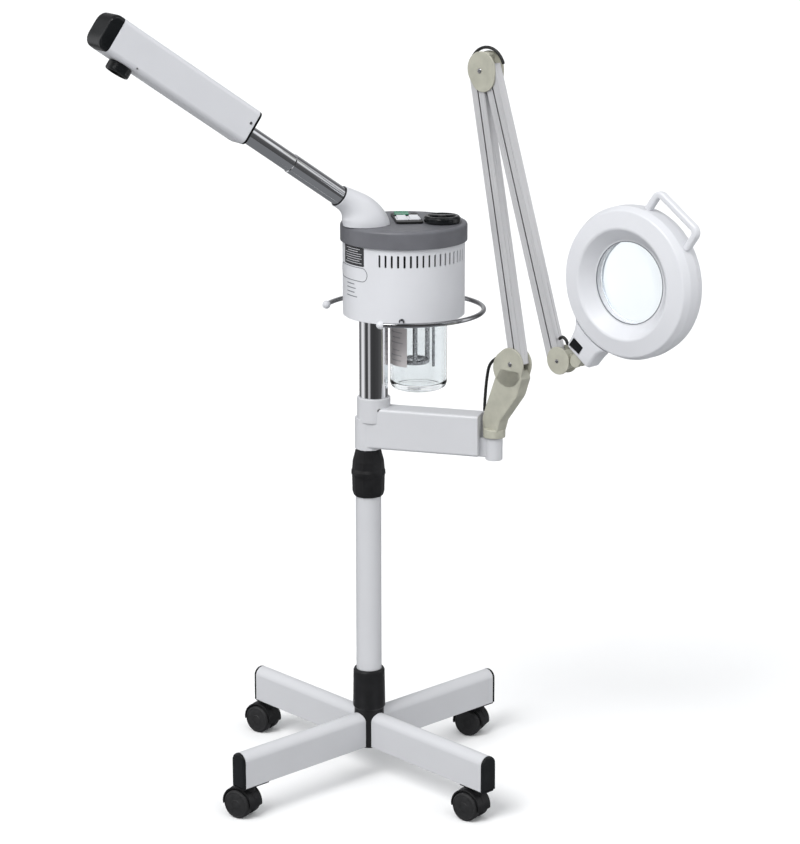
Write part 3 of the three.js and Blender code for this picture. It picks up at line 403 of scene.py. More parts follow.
def put(piece, matrix, body, look, nodes=(), sharp=32):
    """Shades the piece, gives it its finish and fixes it to its body."""
    mesh = piece.data
    mesh.materials.clear()
    mesh.materials.append(look)
    mesh.shade_smooth()
    mesh.set_sharp_from_angle(angle=math.radians(sharp))
    normals = piece.modifiers.new("normals", "WEIGHTED_NORMAL")
    normals.keep_sharp = True
    piece.matrix_world = matrix
    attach(piece, body)
    if nodes:
        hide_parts(*nodes)
    return piece


# ---------------------------------------------------------------------------
# Finishes
# ---------------------------------------------------------------------------


class Nodes:
    """A material's nodes and the links between them."""

    def __init__(self, name):
        self.material = bpy.data.materials.new(name)
        self.material.use_nodes = True
        self.tree = self.material.node_tree
        self.shader = self.tree.nodes["Principled BSDF"]
        self.coords = self.tree.nodes.new("ShaderNodeTexCoord").outputs["Object"]

    def link(self, output, target):
        self.tree.links.new(output, target)

    def stretch(self, scale):
        node = self.tree.nodes.new("ShaderNodeMapping")
        node.inputs["Scale"].default_value = scale
        self.link(self.coords, node.inputs["Vector"])
        return node.outputs["Vector"]

    def noise(self, scale, detail=3.0, rough=0.55, vector=None):
        node = self.tree.nodes.new("ShaderNodeTexNoise")
        node.inputs["Scale"].default_value = scale
        node.inputs["Detail"].default_value = detail
        node.inputs["Roughness"].default_value = rough
        self.link(vector or self.coords, node.inputs["Vector"])
        return node.outputs["Fac"]

    def spread(self, value, low, high, from_low=0.3, from_high=0.7):
        node = self.tree.nodes.new("ShaderNodeMapRange")
        node.inputs["From Min"].default_value = from_low
        node.inputs["From Max"].default_value = from_high
        node.inputs["To Min"].default_value = low
        node.inputs["To Max"].default_value = high
        self.link(value, node.inputs["Value"])
        return node.outputs["Result"]

    def blend(self, factor, first, second):
        node = self.tree.nodes.new("ShaderNodeMix")
        node.data_type = "RGBA"
        colour_inputs = [s for s in node.inputs if s.type == "RGBA"]
        for socket, value in zip(colour_inputs, (first, second)):
            if isinstance(value, tuple):
                socket.default_value = (*value, 1)
            else:
                self.link(value, socket)
        factor_input = next(s for s in node.inputs if s.type == "VALUE")
        if isinstance(factor, float):
            factor_input.default_value = factor
        else:
            self.link(factor, factor_input)
        return next(s for s in node.outputs if s.type == "RGBA")

    def bump(self, value, strength, distance):
        node = self.tree.nodes.new("ShaderNodeBump")
        node.inputs["Strength"].default_value = strength
        node.inputs["Distance"].default_value = distance * MM
        self.link(value, node.inputs["Height"])
        self.link(node.outputs["Normal"], self.shader.inputs["Normal"])


def surface(
    name,
    colour,
    roughness,
    metallic=0.0,
    wander=0.04,
    mottle=0.03,
    mottle_scale=30.0,
    speck=0.0,
    grain=0.1,
    grain_scale=900.0,
    depth=0.05,
    stretch=(1, 1, 1),
    coat=0.0,
    coat_roughness=0.06,
    specular=0.5,
):
    """Opaque finish: broad mottling and fine specks in the colour, uneven gloss, fine relief."""
    n = Nodes(name)
    vector = n.stretch(stretch)
    broad = n.spread(n.noise(mottle_scale, 4.0, vector=vector), 0.0, 1.0)
    darker = tuple(max(0.0, c * (1 - mottle)) for c in colour)
    lighter = tuple(min(1.0, c * (1 + mottle)) for c in colour)
    base = n.blend(broad, darker, lighter)
    if speck:
        fine = n.spread(n.noise(grain_scale * 0.8, 2.0, vector=vector), 0.0, speck, 0.5, 0.75)
        base = n.blend(fine, base, tuple(min(1.0, c * 0.55) for c in colour))
    n.link(base, n.shader.inputs["Base Color"])
    uneven = n.spread(n.noise(mottle_scale * 2.3, 5.0, 0.6, vector), roughness - wander, roughness + wander)
    n.link(uneven, n.shader.inputs["Roughness"])
    n.shader.inputs["Metallic"].default_value = metallic
    n.shader.inputs["Coat Weight"].default_value = coat
    n.shader.inputs["Coat Roughness"].default_value = coat_roughness
    n.shader.inputs["Specular IOR Level"].default_value = specular
    n.bump(n.noise(grain_scale, 3.0, vector=vector), grain, depth)
    return n.material


def clear(name, colour, ior, smudge=0.03, deep=None):
    """Glass with faint smears. Light passes through it to what stands behind."""
    n = Nodes(name)
    smear = n.noise(22.0, 5.0, 0.65)
    tint = n.blend(n.spread(smear, 0.0, 1.0), colour, deep or tuple(c * 0.97 for c in colour))
    n.link(tint, n.shader.inputs["Base Color"])
    n.link(n.spread(smear, 0.0, smudge, 0.45, 0.8), n.shader.inputs["Roughness"])
    n.shader.inputs["Transmission Weight"].default_value = 1.0
    n.shader.inputs["IOR"].default_value = ior
    through = n.tree.nodes.new("ShaderNodeBsdfTransparent")
    through.inputs["Color"].default_value = (*colour, 1)
    mix = n.tree.nodes.new("ShaderNodeMixShader")
    light = n.tree.nodes.new("ShaderNodeLightPath")
    n.link(light.outputs["Is Shadow Ray"], mix.inputs[0])
    n.link(n.shader.outputs[0], mix.inputs[1])
    n.link(through.outputs[0], mix.inputs[2])
    n.link(mix.outputs[0], n.tree.nodes["Material Output"].inputs["Surface"])
    return n.material


white_paint = surface(
    "white_enamel", (0.575, 0.58, 0.6), 0.38, wander=0.012, mottle=0.012, mottle_scale=14, grain=0.05,
    grain_scale=1200, depth=0.02,
)
white_plastic = surface(
    "white_moulding", (0.68, 0.687, 0.715), 0.38, wander=0.015, mottle=0.014, mottle_scale=18, grain=0.1,
    grain_scale=1500, speck=0.03,
)
black_plastic = surface(
    "black_moulding", (0.012, 0.012, 0.013), 0.38, wander=0.07, mottle=0.25, mottle_scale=45, grain=0.25,
    grain_scale=1100, depth=0.05, specular=0.28,
)
black_gloss = surface(
    "black_gloss", (0.008, 0.009, 0.01), 0.2, wander=0.05, mottle=0.2, mottle_scale=40, grain=0.06,
    grain_scale=700, coat=0.15, specular=0.3,
)
caster_plastic = surface(
    "caster_moulding", (0.013, 0.013, 0.014), 0.42, wander=0.08, mottle=0.3, mottle_scale=60, grain=0.3,
    grain_scale=800, depth=0.06, specular=0.25,
)
caster_tread = surface(
    "caster_tread", (0.016, 0.016, 0.017), 0.6, wander=0.1, mottle=0.35, mottle_scale=90, speck=0.2,
    grain=0.4, grain_scale=600, depth=0.08,
)
grey_plastic = surface(
    "grey_moulding", (0.135, 0.137, 0.152), 0.46, wander=0.05, mottle=0.08, mottle_scale=26, speck=0.12,
    grain=0.35, grain_scale=1300, depth=0.05,
)
chrome = surface(
    "chrome_plate", (0.78, 0.79, 0.81), 0.07, wander=0.035, metallic=1.0, mottle=0.03, mottle_scale=12,
    grain=0.03, grain_scale=160, depth=0.03,
)
dark_chrome = surface(
    "dark_chrome_plate", (0.5, 0.505, 0.52), 0.12, wander=0.05, metallic=1.0, mottle=0.05, mottle_scale=20,
    grain=0.04, grain_scale=200, depth=0.03,
)
steel = surface(
    "heater_steel", (0.3, 0.3, 0.31), 0.28, wander=0.08, metallic=1.0, mottle=0.12, mottle_scale=80,
    grain=0.2, grain_scale=500, depth=0.05,
)
aluminium = surface(
    "drawn_aluminium", (0.6, 0.6, 0.61), 0.32, wander=0.07, metallic=0.4, mottle=0.05, mottle_scale=160,
    grain=0.22, grain_scale=500, depth=0.03, stretch=(1, 1, 0.02),
)
beige_plastic = surface(
    "beige_moulding", (0.42, 0.415, 0.345), 0.5, wander=0.06, mottle=0.09, mottle_scale=55, speck=0.08,
    grain=0.3, grain_scale=900, depth=0.06,
)
green_plastic = surface(
    "green_moulding", (0.012, 0.19, 0.1), 0.25, wander=0.05, mottle=0.1, mottle_scale=70, grain=0.08,
    grain_scale=900, coat=0.4,
)
rubber = surface(
    "lead_rubber", (0.012, 0.012, 0.012), 0.55, wander=0.1, mottle=0.3, mottle_scale=120, grain=0.35,
    grain_scale=900, depth=0.06,
)
tube_white = surface(
    "lamp_tube", (0.8, 0.8, 0.78), 0.22, wander=0.04, mottle=0.02, mottle_scale=40, grain=0.03, grain_scale=600,
    coat=0.6,
)
screw_steel = surface(
    "screw_steel", (0.4, 0.4, 0.41), 0.3, wander=0.08, metallic=1.0, mottle=0.1, mottle_scale=300, grain=0.2,
    grain_scale=1500,
)
print_grey = surface(
    "printed_grey", (0.16, 0.17, 0.19), 0.45, wander=0.05, mottle=0.1, mottle_scale=200, grain=0.1, grain_scale=1500,
)
print_faint = surface(
    "printed_faint", (0.4, 0.39, 0.4), 0.5, wander=0.05, mottle=0.1, mottle_scale=200, grain=0.1, grain_scale=1500,
)
plate_dark = surface(
    "plate_dark", (0.03, 0.031, 0.034), 0.4, wander=0.05, mottle=0.15, mottle_scale=120, grain=0.1,
    grain_scale=1500, specular=0.35,
)
label_pale = surface(
    "label_pale", (0.62, 0.585, 0.585), 0.5, wander=0.05, mottle=0.04, mottle_scale=90, grain=0.1, grain_scale=1500,
)
amber = surface(
    "outlet_pad", (0.3, 0.285, 0.2), 0.7, wander=0.1, mottle=0.2, mottle_scale=500, speck=0.2, grain=0.6,
    grain_scale=1500, depth=0.2,
)
jar_glass = clear("jar_glass", (0.85, 0.875, 0.885), 1.47, 0.04)
lens_glass = clear("lens_glass", (0.9, 0.94, 0.965), 1.5, 0.02)


# ---------------------------------------------------------------------------
# Small shared details
# ---------------------------------------------------------------------------


def screw(name, matrix, body, radius=3.2, look=None):
    head = lathe(
        name,
        [(0, -0.6), (radius, -0.6)] + rounded([(radius, 0.2), (radius * 0.8, 1.1, 1.2), (0, 1.35)], False),
        28,
    )
    slot_tools = []
    for angle in (25, 115):
        tool = prism("slot_tool", rectangle(radius * 1.15, radius * 0.26, 0.1), 0.55, 3)
        slot_tools.append(moved(tool, turn(angle)))
    cut(head, *slot_tools)
    return put(head, matrix, body, look or screw_steel, sharp=40)


def facing(origin, outward):
    """Frame whose Z looks outward."""
    helper = UP if abs(outward.normalized().z) < 0.9 else Vector((1, 0, 0))
    return axes(origin, x=helper.cross(outward), z=outward)


def wrapped(name, radius, middle, width, low, high, thick=0.3, corner=0.0, columns=18):
    """Thin plate curved round an upright cylinder, centred on an angle in degrees."""
    points, faces = [], []
    for c in range(columns + 1):
        share = (1 - math.cos(math.pi * c / columns)) / 2
        edge = min(share, 1 - share) * width
        trim = corner - math.sqrt(max(0.0, corner**2 - (corner - edge) ** 2)) if edge < corner else 0.0
        a = math.radians(middle) + (share - 0.5) * width / radius
        for r in (radius - 0.4, radius + thick):
            for z in (low + trim, high - trim):
                points.append((r * math.cos(a), r * math.sin(a), z))
    for c in range(columns):
        a, b = c * 4, c * 4 + 4
        faces += [(a, a + 1, b + 1, b), (a + 2, b + 2, b + 3, a + 3)]
        faces += [(a, b, b + 2, a + 2), (a + 1, a + 3, b + 3, b + 1)]
    faces += [(0, 2, 3, 1), (columns * 4, columns * 4 + 1, columns * 4 + 3, columns * 4 + 2)]
    return build(name, points, faces)


def divided(outline, step):
    """Closed outline with points added so that no edge is longer than the step."""
    points = []
    for (u0, v0), (u1, v1) in zip(outline, outline[1:] + outline[:1]):
        count = max(1, math.ceil(math.hypot(u1 - u0, v1 - v0) / step))
        points += [(u0 + (u1 - u0) * k / count, v0 + (v1 - v0) * k / count) for k in range(count)]
    return points


def wrapped_line(name, radius, middle, outline, thickness=0.45):
    """Fine raised outline on an upright cylinder."""
    path = []
    for u, v in outline:
        a = math.radians(middle) + u / radius
        path.append((radius * math.cos(a), radius * math.sin(a), v))
    return rod(name, path, thickness, 8, closed=True)


# ---------------------------------------------------------------------------
# Rolling base
# ---------------------------------------------------------------------------

hub = lathe(
    "hub",
    rounded(
        [
            (0, 58), (26, 58, 2.2), (26, 127.5, 3), (28.4, 131.5, 2.5), (27.4, 197, 2), (25.4, 201, 1.2),
            (22.4, 201, 0.5), (22.4, 72), (0, 72),
        ],
        False,
    ),
    96,
)
put(hub, COLUMN, "base", black_plastic, ["base_hub"])


def bullet(trim=0.0):
    """Leg section: flat bottom, straight sides, round top."""
    half = 15 - trim
    foot = rounded([(-half, 107), (-half, 60 + trim, 1.4), (half, 60 + trim, 1.4), (half, 107)], False)
    return foot[1:] + circle(half, 0, 107, 25, 0, 180)


for i in range(1, 5):
    pivot = joint_point(f"caster_{i}_swivel")
    out = level(pivot) - COLUMN.translation
    LEG = axes(COLUMN.translation, x=out, z=UP)
    reach = out.length / MM

    leg = prism(f"leg_{i}_body", bullet(), 16, 294, axis="X")
    cut(leg, lathe("hub_tool", [(0, 40), (26.4, 40), (26.4, 150), (0, 150)], 96))
    put(leg, LEG, "base", white_paint, [f"leg_{i}"])

    end = prism(f"leg_{i}_end", bullet(), 294.3, 300, (0.4, 2.6), "X", 4)
    put(end, LEG, "base", black_gloss, [f"leg_cap_{i}"])
    sole = prism(f"leg_{i}_sole", rectangle(57.5, 27, 3, 269.75), 57.8, 59.75, 0.4)
    cut(sole, lathe("boss_tool", [(0, 50), (9.6, 50), (9.6, 70), (0, 70)], 48))
    put(sole, LEG, "base", black_plastic)

    CASTER = axes(level(pivot), y=joint_axis(f"wheel_{i}_near_spin"), z=UP)
    arch = circle(30, -16, 25, 48, -8, 188) + circle(26.9, -16, 25, 48, 188, -8)
    hood = prism("hood", arch, -16.5, 16.5, 0.9, "Y")
    web_shape = rounded(
        [(-23, 18, 2), (-9, 18, 4), (7, 39, 3), (7, 51), (-26, 51)]
    )
    web = prism("web", web_shape, -3.5, 3.5, 0.5, "Y")
    boss = lathe("boss", rounded([(0, 48), (9, 48), (9, 59.6, 0.8), (6, 59.6), (6, 89, 1), (0, 89)], False), 40)
    pin = moved(lathe("pin", [(0, -20.3), (4, -20.3), (4, 20.3), (0, 20.3)], 24, "Y"), shift(-16, 0, 25))
    rib = prism("rib", circle(30.7, -16, 25, 40, 20, 160) + circle(29.6, -16, 25, 40, 160, 20), -3, 3, 0.3, "Y")
    fork = group(f"caster_{i}_fork", hood, web, boss, pin, rib)
    put(fork, CASTER, f"caster_{i}", caster_plastic, [f"caster_fork_{i}"])

    for label, side in (("near", -1), ("far", 1)):
        profile = rounded(
            [
                (4.3, 4.5), (23.6, 4.5, 1.2), (25, 6.4, 1.4), (25, 17.2, 2.6), (23.2, 20.2, 1.6), (21.2, 20.6, 0.4),
                (20.6, 20.0, 0.4), (9.2, 20.9, 0.5), (8.4, 21.4, 0.5), (0, 21.5), (0, 19.9), (4.3, 19.9),
            ],
            steps=3,
        )
        wheel = lathe(f"caster_{i}_{label}", [(r, h * side) for r, h in profile], 64, "Y")
        seat = CASTER @ shift(-16, 0, 25)
        put(wheel, seat, f"wheel_{i}_{label}", caster_tread, [f"wheel_{i}_{label}"])


# ---------------------------------------------------------------------------
# Telescopic column
# ---------------------------------------------------------------------------

lower_tube = lathe("lower_tube", rounded([(20, 72), (22, 72, 0.5), (22, 568, 0.6), (20, 568)]), 96)
put(lower_tube, COLUMN, "base", white_paint, ["column_lower_tube"])


def facets(radius, height, angle, count=10):
    """Flats round the collar, left off its ridge and its bore."""
    if radius < 20.6 or 553 < height < 564 or (radius < 22.6 and height < 570):
        return radius
    pitch = 2 * math.pi / count
    offset = (angle % pitch) - pitch / 2
    flat = math.cos(pitch / 2) / math.cos(offset)
    return radius * (0.2 + 0.8 * flat)


collar = lathe(
    "collar",
    rounded(
        [
            (19.5, 568.5), (22.3, 568.5), (22.3, 516, 0.4), (25.2, 516, 2), (27.6, 524, 2), (28.2, 551, 1.5),
            (29.4, 555, 1.4), (29.4, 560, 1.4), (28, 565, 1.5), (27, 578, 5), (21.8, 598, 1.2), (19.5, 598, 0.4),
        ],
        steps=4,
    ),
    120,
    shape=facets,
)
put(collar, COLUMN, "collar", black_plastic, ["height_collar"], 24)

inner_tube = lathe("inner_tube", rounded([(17, 130), (19, 130, 0.5), (19, 656, 0.5), (17, 656)]), 96)
put(inner_tube, COLUMN, "carriage", chrome, ["column_inner_tube"])


# ---------------------------------------------------------------------------
# Bracket and post
# ---------------------------------------------------------------------------

socket_point = level(joint_point("lamp_swivel"))
ARM_FRAME = axes(COLUMN.translation, x=socket_point - COLUMN.translation, z=UP)
to_column = COLUMN_INVERSE @ ARM_FRAME
post_at = (COLUMN_INVERSE @ POST).translation / MM
socket_at = (COLUMN_INVERSE @ Matrix.Translation(socket_point)).translation / MM

bracket = moved(prism("bracket_body", rectangle(45, 71, 5, 0, 639.5), 2, 199, (0, 1.6), "X"), to_column)
sleeve = lathe("sleeve", rounded([(0, 600), (22.8, 600, 0.8), (22.8, 655, 0.8), (0, 655)], False), 96)
ring_seat = lathe("ring_seat", rounded([(0, 649), (28.5, 649, 1), (28.5, 691, 1.6), (0, 691)], False), 96)
moved(ring_seat, shift(post_at.x, post_at.y))
socket = lathe("socket", rounded([(0, 597), (14.5, 597, 1.2), (14.5, 636, 0.8), (0, 636)], False), 72)
moved(socket, shift(socket_at.x, socket_at.y))
web = moved(prism("socket_web", rectangle(16, 34, 3, 0, 618), 194, 218, 0, "X"), to_column)
weld(bracket, sleeve, ring_seat, socket, web)
tube_tool = lathe("tube_tool", [(0, 590), (19.3, 590), (19.3, 656.3), (0, 656.3)], 96)
post_tool = lathe("post_tool", [(0, 661.7), (24.8, 661.7), (24.8, 700), (0, 700)], 96)
moved(post_tool, shift(post_at.x, post_at.y))
bore_tool = lathe("bore_tool", [(0, 601), (8.4, 601), (8.4, 650), (0, 650)], 48)
moved(bore_tool, shift(socket_at.x, socket_at.y))
cut(bracket, tube_tool, post_tool, bore_tool)
put(bracket, COLUMN, "carriage", white_paint, ["bracket"])

post = lathe("post", rounded([(22.5, 662), (24.5, 662, 0.6), (24.5, 862, 0.6), (22.5, 862)]), 96)
put(post, POST, "carriage", chrome, ["steamer_post"])

for k, height in enumerate((622, 657)):
    side = Vector((0.35, -1, 0)).normalized()
    out = 22.8 if k == 0 else 28.5
    base = COLUMN if k == 0 else POST
    spot = base.translation + side * out * MM + UP * (height if k == 0 else 672) * MM
    screw(f"grip_screw_{k + 1}", facing(spot, side), "carriage", 3.6)


# ---------------------------------------------------------------------------
# Steamer housing
# ---------------------------------------------------------------------------

floor_plate = lathe("floor_plate", rounded([(0, 832), (100.2, 832, 0.6), (100.2, 835, 0.6), (0, 835)], False), 128)
jar_at = (HOUSING.inverted() @ JAR).translation / MM
seat_at = (HOUSING.inverted() @ POST).translation / MM
jar_collar = lathe("jar_collar", rounded([(0, 823), (49, 823, 1.8), (49, 840, 1), (0, 840)], False), 96)
moved(jar_collar, shift(jar_at.x, jar_at.y))
post_boss = lathe("post_boss", rounded([(0, 832), (28.5, 832, 0.6), (28.5, 866, 1), (0, 866)], False), 72)
moved(post_boss, shift(seat_at.x, seat_at.y))
weld(floor_plate, jar_collar, post_boss)
neck_tool = lathe("neck_tool", [(0, 810), (43, 810), (43, 860), (0, 860)], 96)
moved(neck_tool, shift(jar_at.x, jar_at.y))
post_tool = lathe("post_tool", [(0, 820), (24.8, 820), (24.8, 862.3), (0, 862.3)], 96)
moved(post_tool, shift(seat_at.x, seat_at.y))
cut(floor_plate, neck_tool, post_tool)
put(floor_plate, HOUSING, "carriage", grey_plastic, ["housing_floor"])

shell = lathe("shell", rounded([(101, 831), (103.5, 831, 1), (103.5, 984.6, 0.4), (101, 984.6)]), 180)
slots = []
for k in range(17):
    slot_tool = prism("slot_tool", rectangle(3.6, 21, 1.5, 0, 937.5, 4), 96, 110, 0, "X")
    slots.append(moved(slot_tool, turn(-113 + 5.9 * k)))
cut(shell, group("slot_tools", *slots))
put(shell, HOUSING, "carriage", white_plastic, ["housing_shell"], 28)

# Black sheet just inside the vent slots: painted shade, so that the slots read dark inside the housing
slot_shade_sheet = lathe("vent_slot_shade", [(98.4, 918), (99.6, 918), (99.6, 957), (98.4, 957)], 96)
put(slot_shade_sheet, HOUSING, "carriage", black_plastic)

lid = lathe(
    "lid",
    rounded(
        [
            (0, 988), (95.6, 988, 0.4), (96.1, 987.1, 0.2), (96.9, 987.1, 0.2), (97.4, 988, 0.4), (107.5, 988, 8),
            (107.5, 958, 0.9), (103.9, 958, 0.4), (103.9, 985), (0, 985),
        ],
        False,
    ),
    160,
)
arm_root = level(joint_point("steam_arm_swivel"))
arm_at = (HOUSING.inverted() @ Matrix.Translation(arm_root)).translation / MM
cap_at = (HOUSING.inverted() @ FILLER).translation / MM
hole = moved(lathe("fill_tool", [(0, 970), (21, 970), (21, 1000), (0, 1000)], 72), shift(cap_at.x, cap_at.y))
root = moved(lathe("root_tool", [(0, 970), (14.3, 970), (14.3, 1000), (0, 1000)], 48), shift(arm_at.x, arm_at.y))
cut(lid, hole, root)
put(lid, HOUSING, "carriage", grey_plastic, ["housing_lid"])

# Raised control plate and its rockers
ROCKERS = {
    "power": (-6, 27, 26, 22, green_plastic, "green_plastic", black_gloss),
    "steam": (-10.5, -12, 17, 27, white_plastic, "white_plastic", white_plastic),
    "ozone": (10.5, -12, 17, 27, white_plastic, "white_plastic", white_plastic),
}
panel_x = joint_axis("power_switch")
panel_y = UP.cross(panel_x)
power_x, power_y = ROCKERS["power"][:2]
PANEL = axes(joint_point("power_switch") - (panel_x * power_x + panel_y * power_y + UP * 5) * MM, x=panel_x, z=UP)
panel = prism("panel", rectangle(46, 92, 7), 0.3, 4, (0.2, 0.9))
cut(panel, *[prism("well", rectangle(w, d, 1.2, x, y), 2.6, 9) for x, y, w, d, *_ in ROCKERS.values()])
put(panel, PANEL, "carriage", black_plastic, ["control_panel"])
for name, (x, y, w, d, look, slot_name, rim_look) in ROCKERS.items():
    rim = prism(f"{name}_bezel", rectangle(w + 3.6, d + 3.6, 2.4, x, y), 4, 5.4, (0, 0.5))
    cut(rim, prism("well", rectangle(w - 0.4, d - 0.4, 1, x, y), 2, 9))
    put(rim, PANEL, "carriage", rim_look)
    half = d / 2 - 1.2
    face = rounded(
        [(-half, -1.4, 0.5), (0, -2.2), (half, 0.4, 0.5), (half, 3.2, 0.7), (0, 1.6, 9), (-half, 1.2, 0.7)],
    )
    rocker = prism(f"{name}_key", face, -(w - 1.6) / 2, (w - 1.6) / 2, 0.5, "X")
    tick = prism("tick", rectangle(0.9, 4.2, 0.3, 0, half * 0.6), 2.1, 2.75, 0.1)
    rocker = group(f"{name}_rocker_key", rocker, tick)
    KEY = axes(joint_point(f"{name}_switch"), x=panel_x, z=UP)
    put(rocker, KEY, f"{name}_rocker", look, [f"switch_{name}"])

# Filler cap
cap = lathe(
    "cap",
    rounded(
        [
            (0, 972), (20, 972, 1), (20, 988.5), (29, 988.5, 1), (31, 991, 2), (31, 997, 2.5), (28, 1000.5, 2.2),
            (24, 1000.5, 2), (21, 997, 1.5), (0, 997),
        ],
        False,
    ),
    96,
)
bar = prism("bar", rectangle(44, 7, 2.4, 0, 998), -4.5, 4.5, 1.6, "Y")
knob = lathe("knob", rounded([(0, 995), (9, 995), (8.4, 1001.3, 1.6), (0, 1001.5)], False), 48)
put(group("cap_body", cap, bar), FILLER, "filler_lid", black_gloss, ["filler_cap"])
put(knob, FILLER, "filler_lid", black_plastic)

# Boiler jar and heater
jar = lathe(
    "jar",
    rounded(
        [
            (0, 697), (37, 697, 6), (46.5, 700.5, 8), (49, 709, 8), (49, 812, 5), (42, 821, 3), (42, 848, 1.3),
            (39, 848, 1.3), (39, 819, 4), (45.8, 811.5, 4), (45.8, 711, 7), (36, 700.4, 6), (0, 700.4),
        ],
        False,
    ),
    120,
)
put(jar, JAR, "jar", jar_glass, ["boiler_jar"])
jar_label = wrapped("jar_label", 49.05, -142, 48, 742, 810, 0.15, 2)
put(jar_label, JAR, "jar", label_pale)
for k, (width, height) in enumerate(((30, 801), (22, 792), (32, 783), (18, 770), (27, 761), (24, 752))):
    mark = wrapped(f"jar_mark_{k + 1}", 49.25, -142, width, height - 0.9, height + 0.9, 0.08, 0.3, 8)
    put(mark, JAR, "jar", print_faint)

flange = lathe("flange", rounded([(0, 848.5), (47, 848.5, 0.6), (47, 853, 0.8), (0, 853)], False), 96)
ring_path = [(-6 + 21 * math.cos(2 * math.pi * k / 64), 21 * math.sin(2 * math.pi * k / 64), 745) for k in range(64)]
coil = rod("coil", ring_path, 4.2, 20, closed=True)
leg_a = rod("leg_a", [(-6, -20.5, 747), (-6, -20.5, 800), (-6, -20.5, 850)], 4.2)
leg_b = rod("leg_b", [(15, 0, 747), (15, 0, 800), (15, 0, 850)], 4.2)
probe = rod("probe", [(26, 12, 733), (26, 12, 790), (26, 12, 850)], 2.6)
heater = group("heater_unit", flange, coil, leg_a, leg_b, probe)
put(heater, JAR, "carriage", steel, ["heater"])

# Guard ring with its end balls
ring_path = []
for k in range(97):
    a = math.radians(-104 + 268 * k / 96)
    ring_path.append((136 * math.cos(a), 136 * math.sin(a), 838))
guard = rod("guard_bar", ring_path, 4, 24)
spokes = []
for angle in (-92, 60, 130):
    line = rounded([(0, 103.9), (5, 103.9), (5, 105.4, 0.5), (3, 105.6), (3, 134), (0, 134)], False)
    spoke = lathe("spoke", line, 28, "X")
    spokes.append(moved(spoke, turn(angle) @ shift(0, 0, 838)))
put(group("guard_rail", guard, *spokes), HOUSING, "carriage", dark_chrome, ["guard_ring"])
for label, angle in (("front", -106.6), ("rear", 166.6)):
    ball = lathe(
        f"ring_ball_{label}",
        [(7 * math.sin(math.pi * k / 24), -7 * math.cos(math.pi * k / 24)) for k in range(25)],
        40,
    )
    a = math.radians(angle)
    spot = HOUSING @ shift(136 * math.cos(a), 136 * math.sin(a), 838)
    put(ball, spot, "carriage", white_plastic, [f"ring_tip_{label}"])

# Rating plate, blank badge and unlettered print on the housing
put(wrapped("rating_plate", 103.5, -145.6, 57, 925, 957, 0.35, 2), HOUSING, "carriage", plate_dark)
for k in range(7):
    width = (48, 38, 48, 44, 48, 30, 40)[k]
    stripe = wrapped(f"rating_stripe_{k + 1}", 103.85, -145.6, width, 929.4 + 3.9 * k, 930.2 + 3.9 * k, 0.12, 0.3, 10)
    put(stripe, HOUSING, "carriage", white_plastic)
badge = wrapped_line("badge_outline", 103.5, -150, divided(rectangle(86, 23, 11.4, 0, 911, 10), 4), 0.6)
put(badge, HOUSING, "carriage", print_grey)
for k, (offset, width, height) in enumerate(((-6, 24, 893), (-4, 28, 886), (-6, 24, 879), (-2, 32, 872))):
    mark = wrapped(f"print_line_{k + 1}", 103.5, -147 + offset * 0.4, width, height - 0.8, height + 0.8, 0.12, 0.4, 10)
    put(mark, HOUSING, "carriage", print_grey)


# ---------------------------------------------------------------------------
# Steam arm. ARM stands upright at its root, TUBE runs up along the pipe.
# ---------------------------------------------------------------------------

tube_axis = joint_axis("spray_head_roll")
head_up = joint_axis("nozzle_turn")
heading = Vector((tube_axis.x, tube_axis.y, 0)).normalized()
rise = math.degrees(math.atan2(tube_axis.z, Vector((tube_axis.x, tube_axis.y)).length))
ARM = axes(arm_root, x=heading, z=UP)
HEAD = axes(joint_point("spray_head_roll"), x=tube_axis, z=head_up)
TUBE = HEAD @ shift(-276)
LID_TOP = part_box("housing_lid")[1].z / MM
AXIS_Z = TUBE.translation.z / MM

cos_rise, sin_rise = math.cos(math.radians(rise)), math.sin(math.radians(rise))
MOUTH = 67
sections = []
for s in range(29):
    t = s / 28
    ease = t * t * (3 - 2 * t)
    tilt = math.radians((90 - rise) * ease)
    centre_x = 4 * (1 - t) + MOUTH * t * cos_rise * (0.35 + 0.65 * t)
    centre_z = LID_TOP + 0.4 + (AXIS_Z + MOUTH * sin_rise - LID_TOP - 0.4) * t**0.85
    half_x = 41 * (1 - ease) + 19.5 * ease
    half_y = 34 * (1 - ease) + 19.5 * ease
    ring = []
    for k in range(72):
        a = 2 * math.pi * k / 72
        u, v = half_x * math.cos(a), half_y * math.sin(a)
        ring.append((centre_x + u * math.cos(tilt), v, centre_z - u * math.sin(tilt)))
    sections.append(ring)
elbow = skin("elbow_boot", sections)
spigot = lathe("spigot", [(0, LID_TOP - 14), (14, LID_TOP - 14), (14, LID_TOP + 4), (0, LID_TOP + 4)], 48)
weld(elbow, spigot)
seat_tool = moved(lathe("seat_tool", [(0, 43), (16.9, 43), (16.9, 90), (0, 90)], 72, "X"), ARM.inverted() @ TUBE)
cut(elbow, seat_tool)
put(elbow, ARM, "steam_arm", white_plastic, ["steam_elbow"], 40)
# Black ring at the elbow mouth where the pipe enters: painted shade standing in for the dark gap there
entry_shade_ring = lathe("tube_entry_shade", rounded([(16.7, 65.5), (18.4, 65.5), (18.4, 68.4, 0.7), (16.7, 68.4, 0.4)]), 72, "X")
put(entry_shade_ring, TUBE, "steam_arm", black_plastic)

pipe = lathe(
    "steam_pipe",
    rounded([(12, 44), (16.6, 44, 0.4), (16.6, 176, 0.7), (15.3, 177.5, 0.7), (15.3, 336, 0.5), (12, 336)]),
    96,
    "X",
)
put(pipe, TUBE, "steam_arm", chrome, ["steam_tube"])

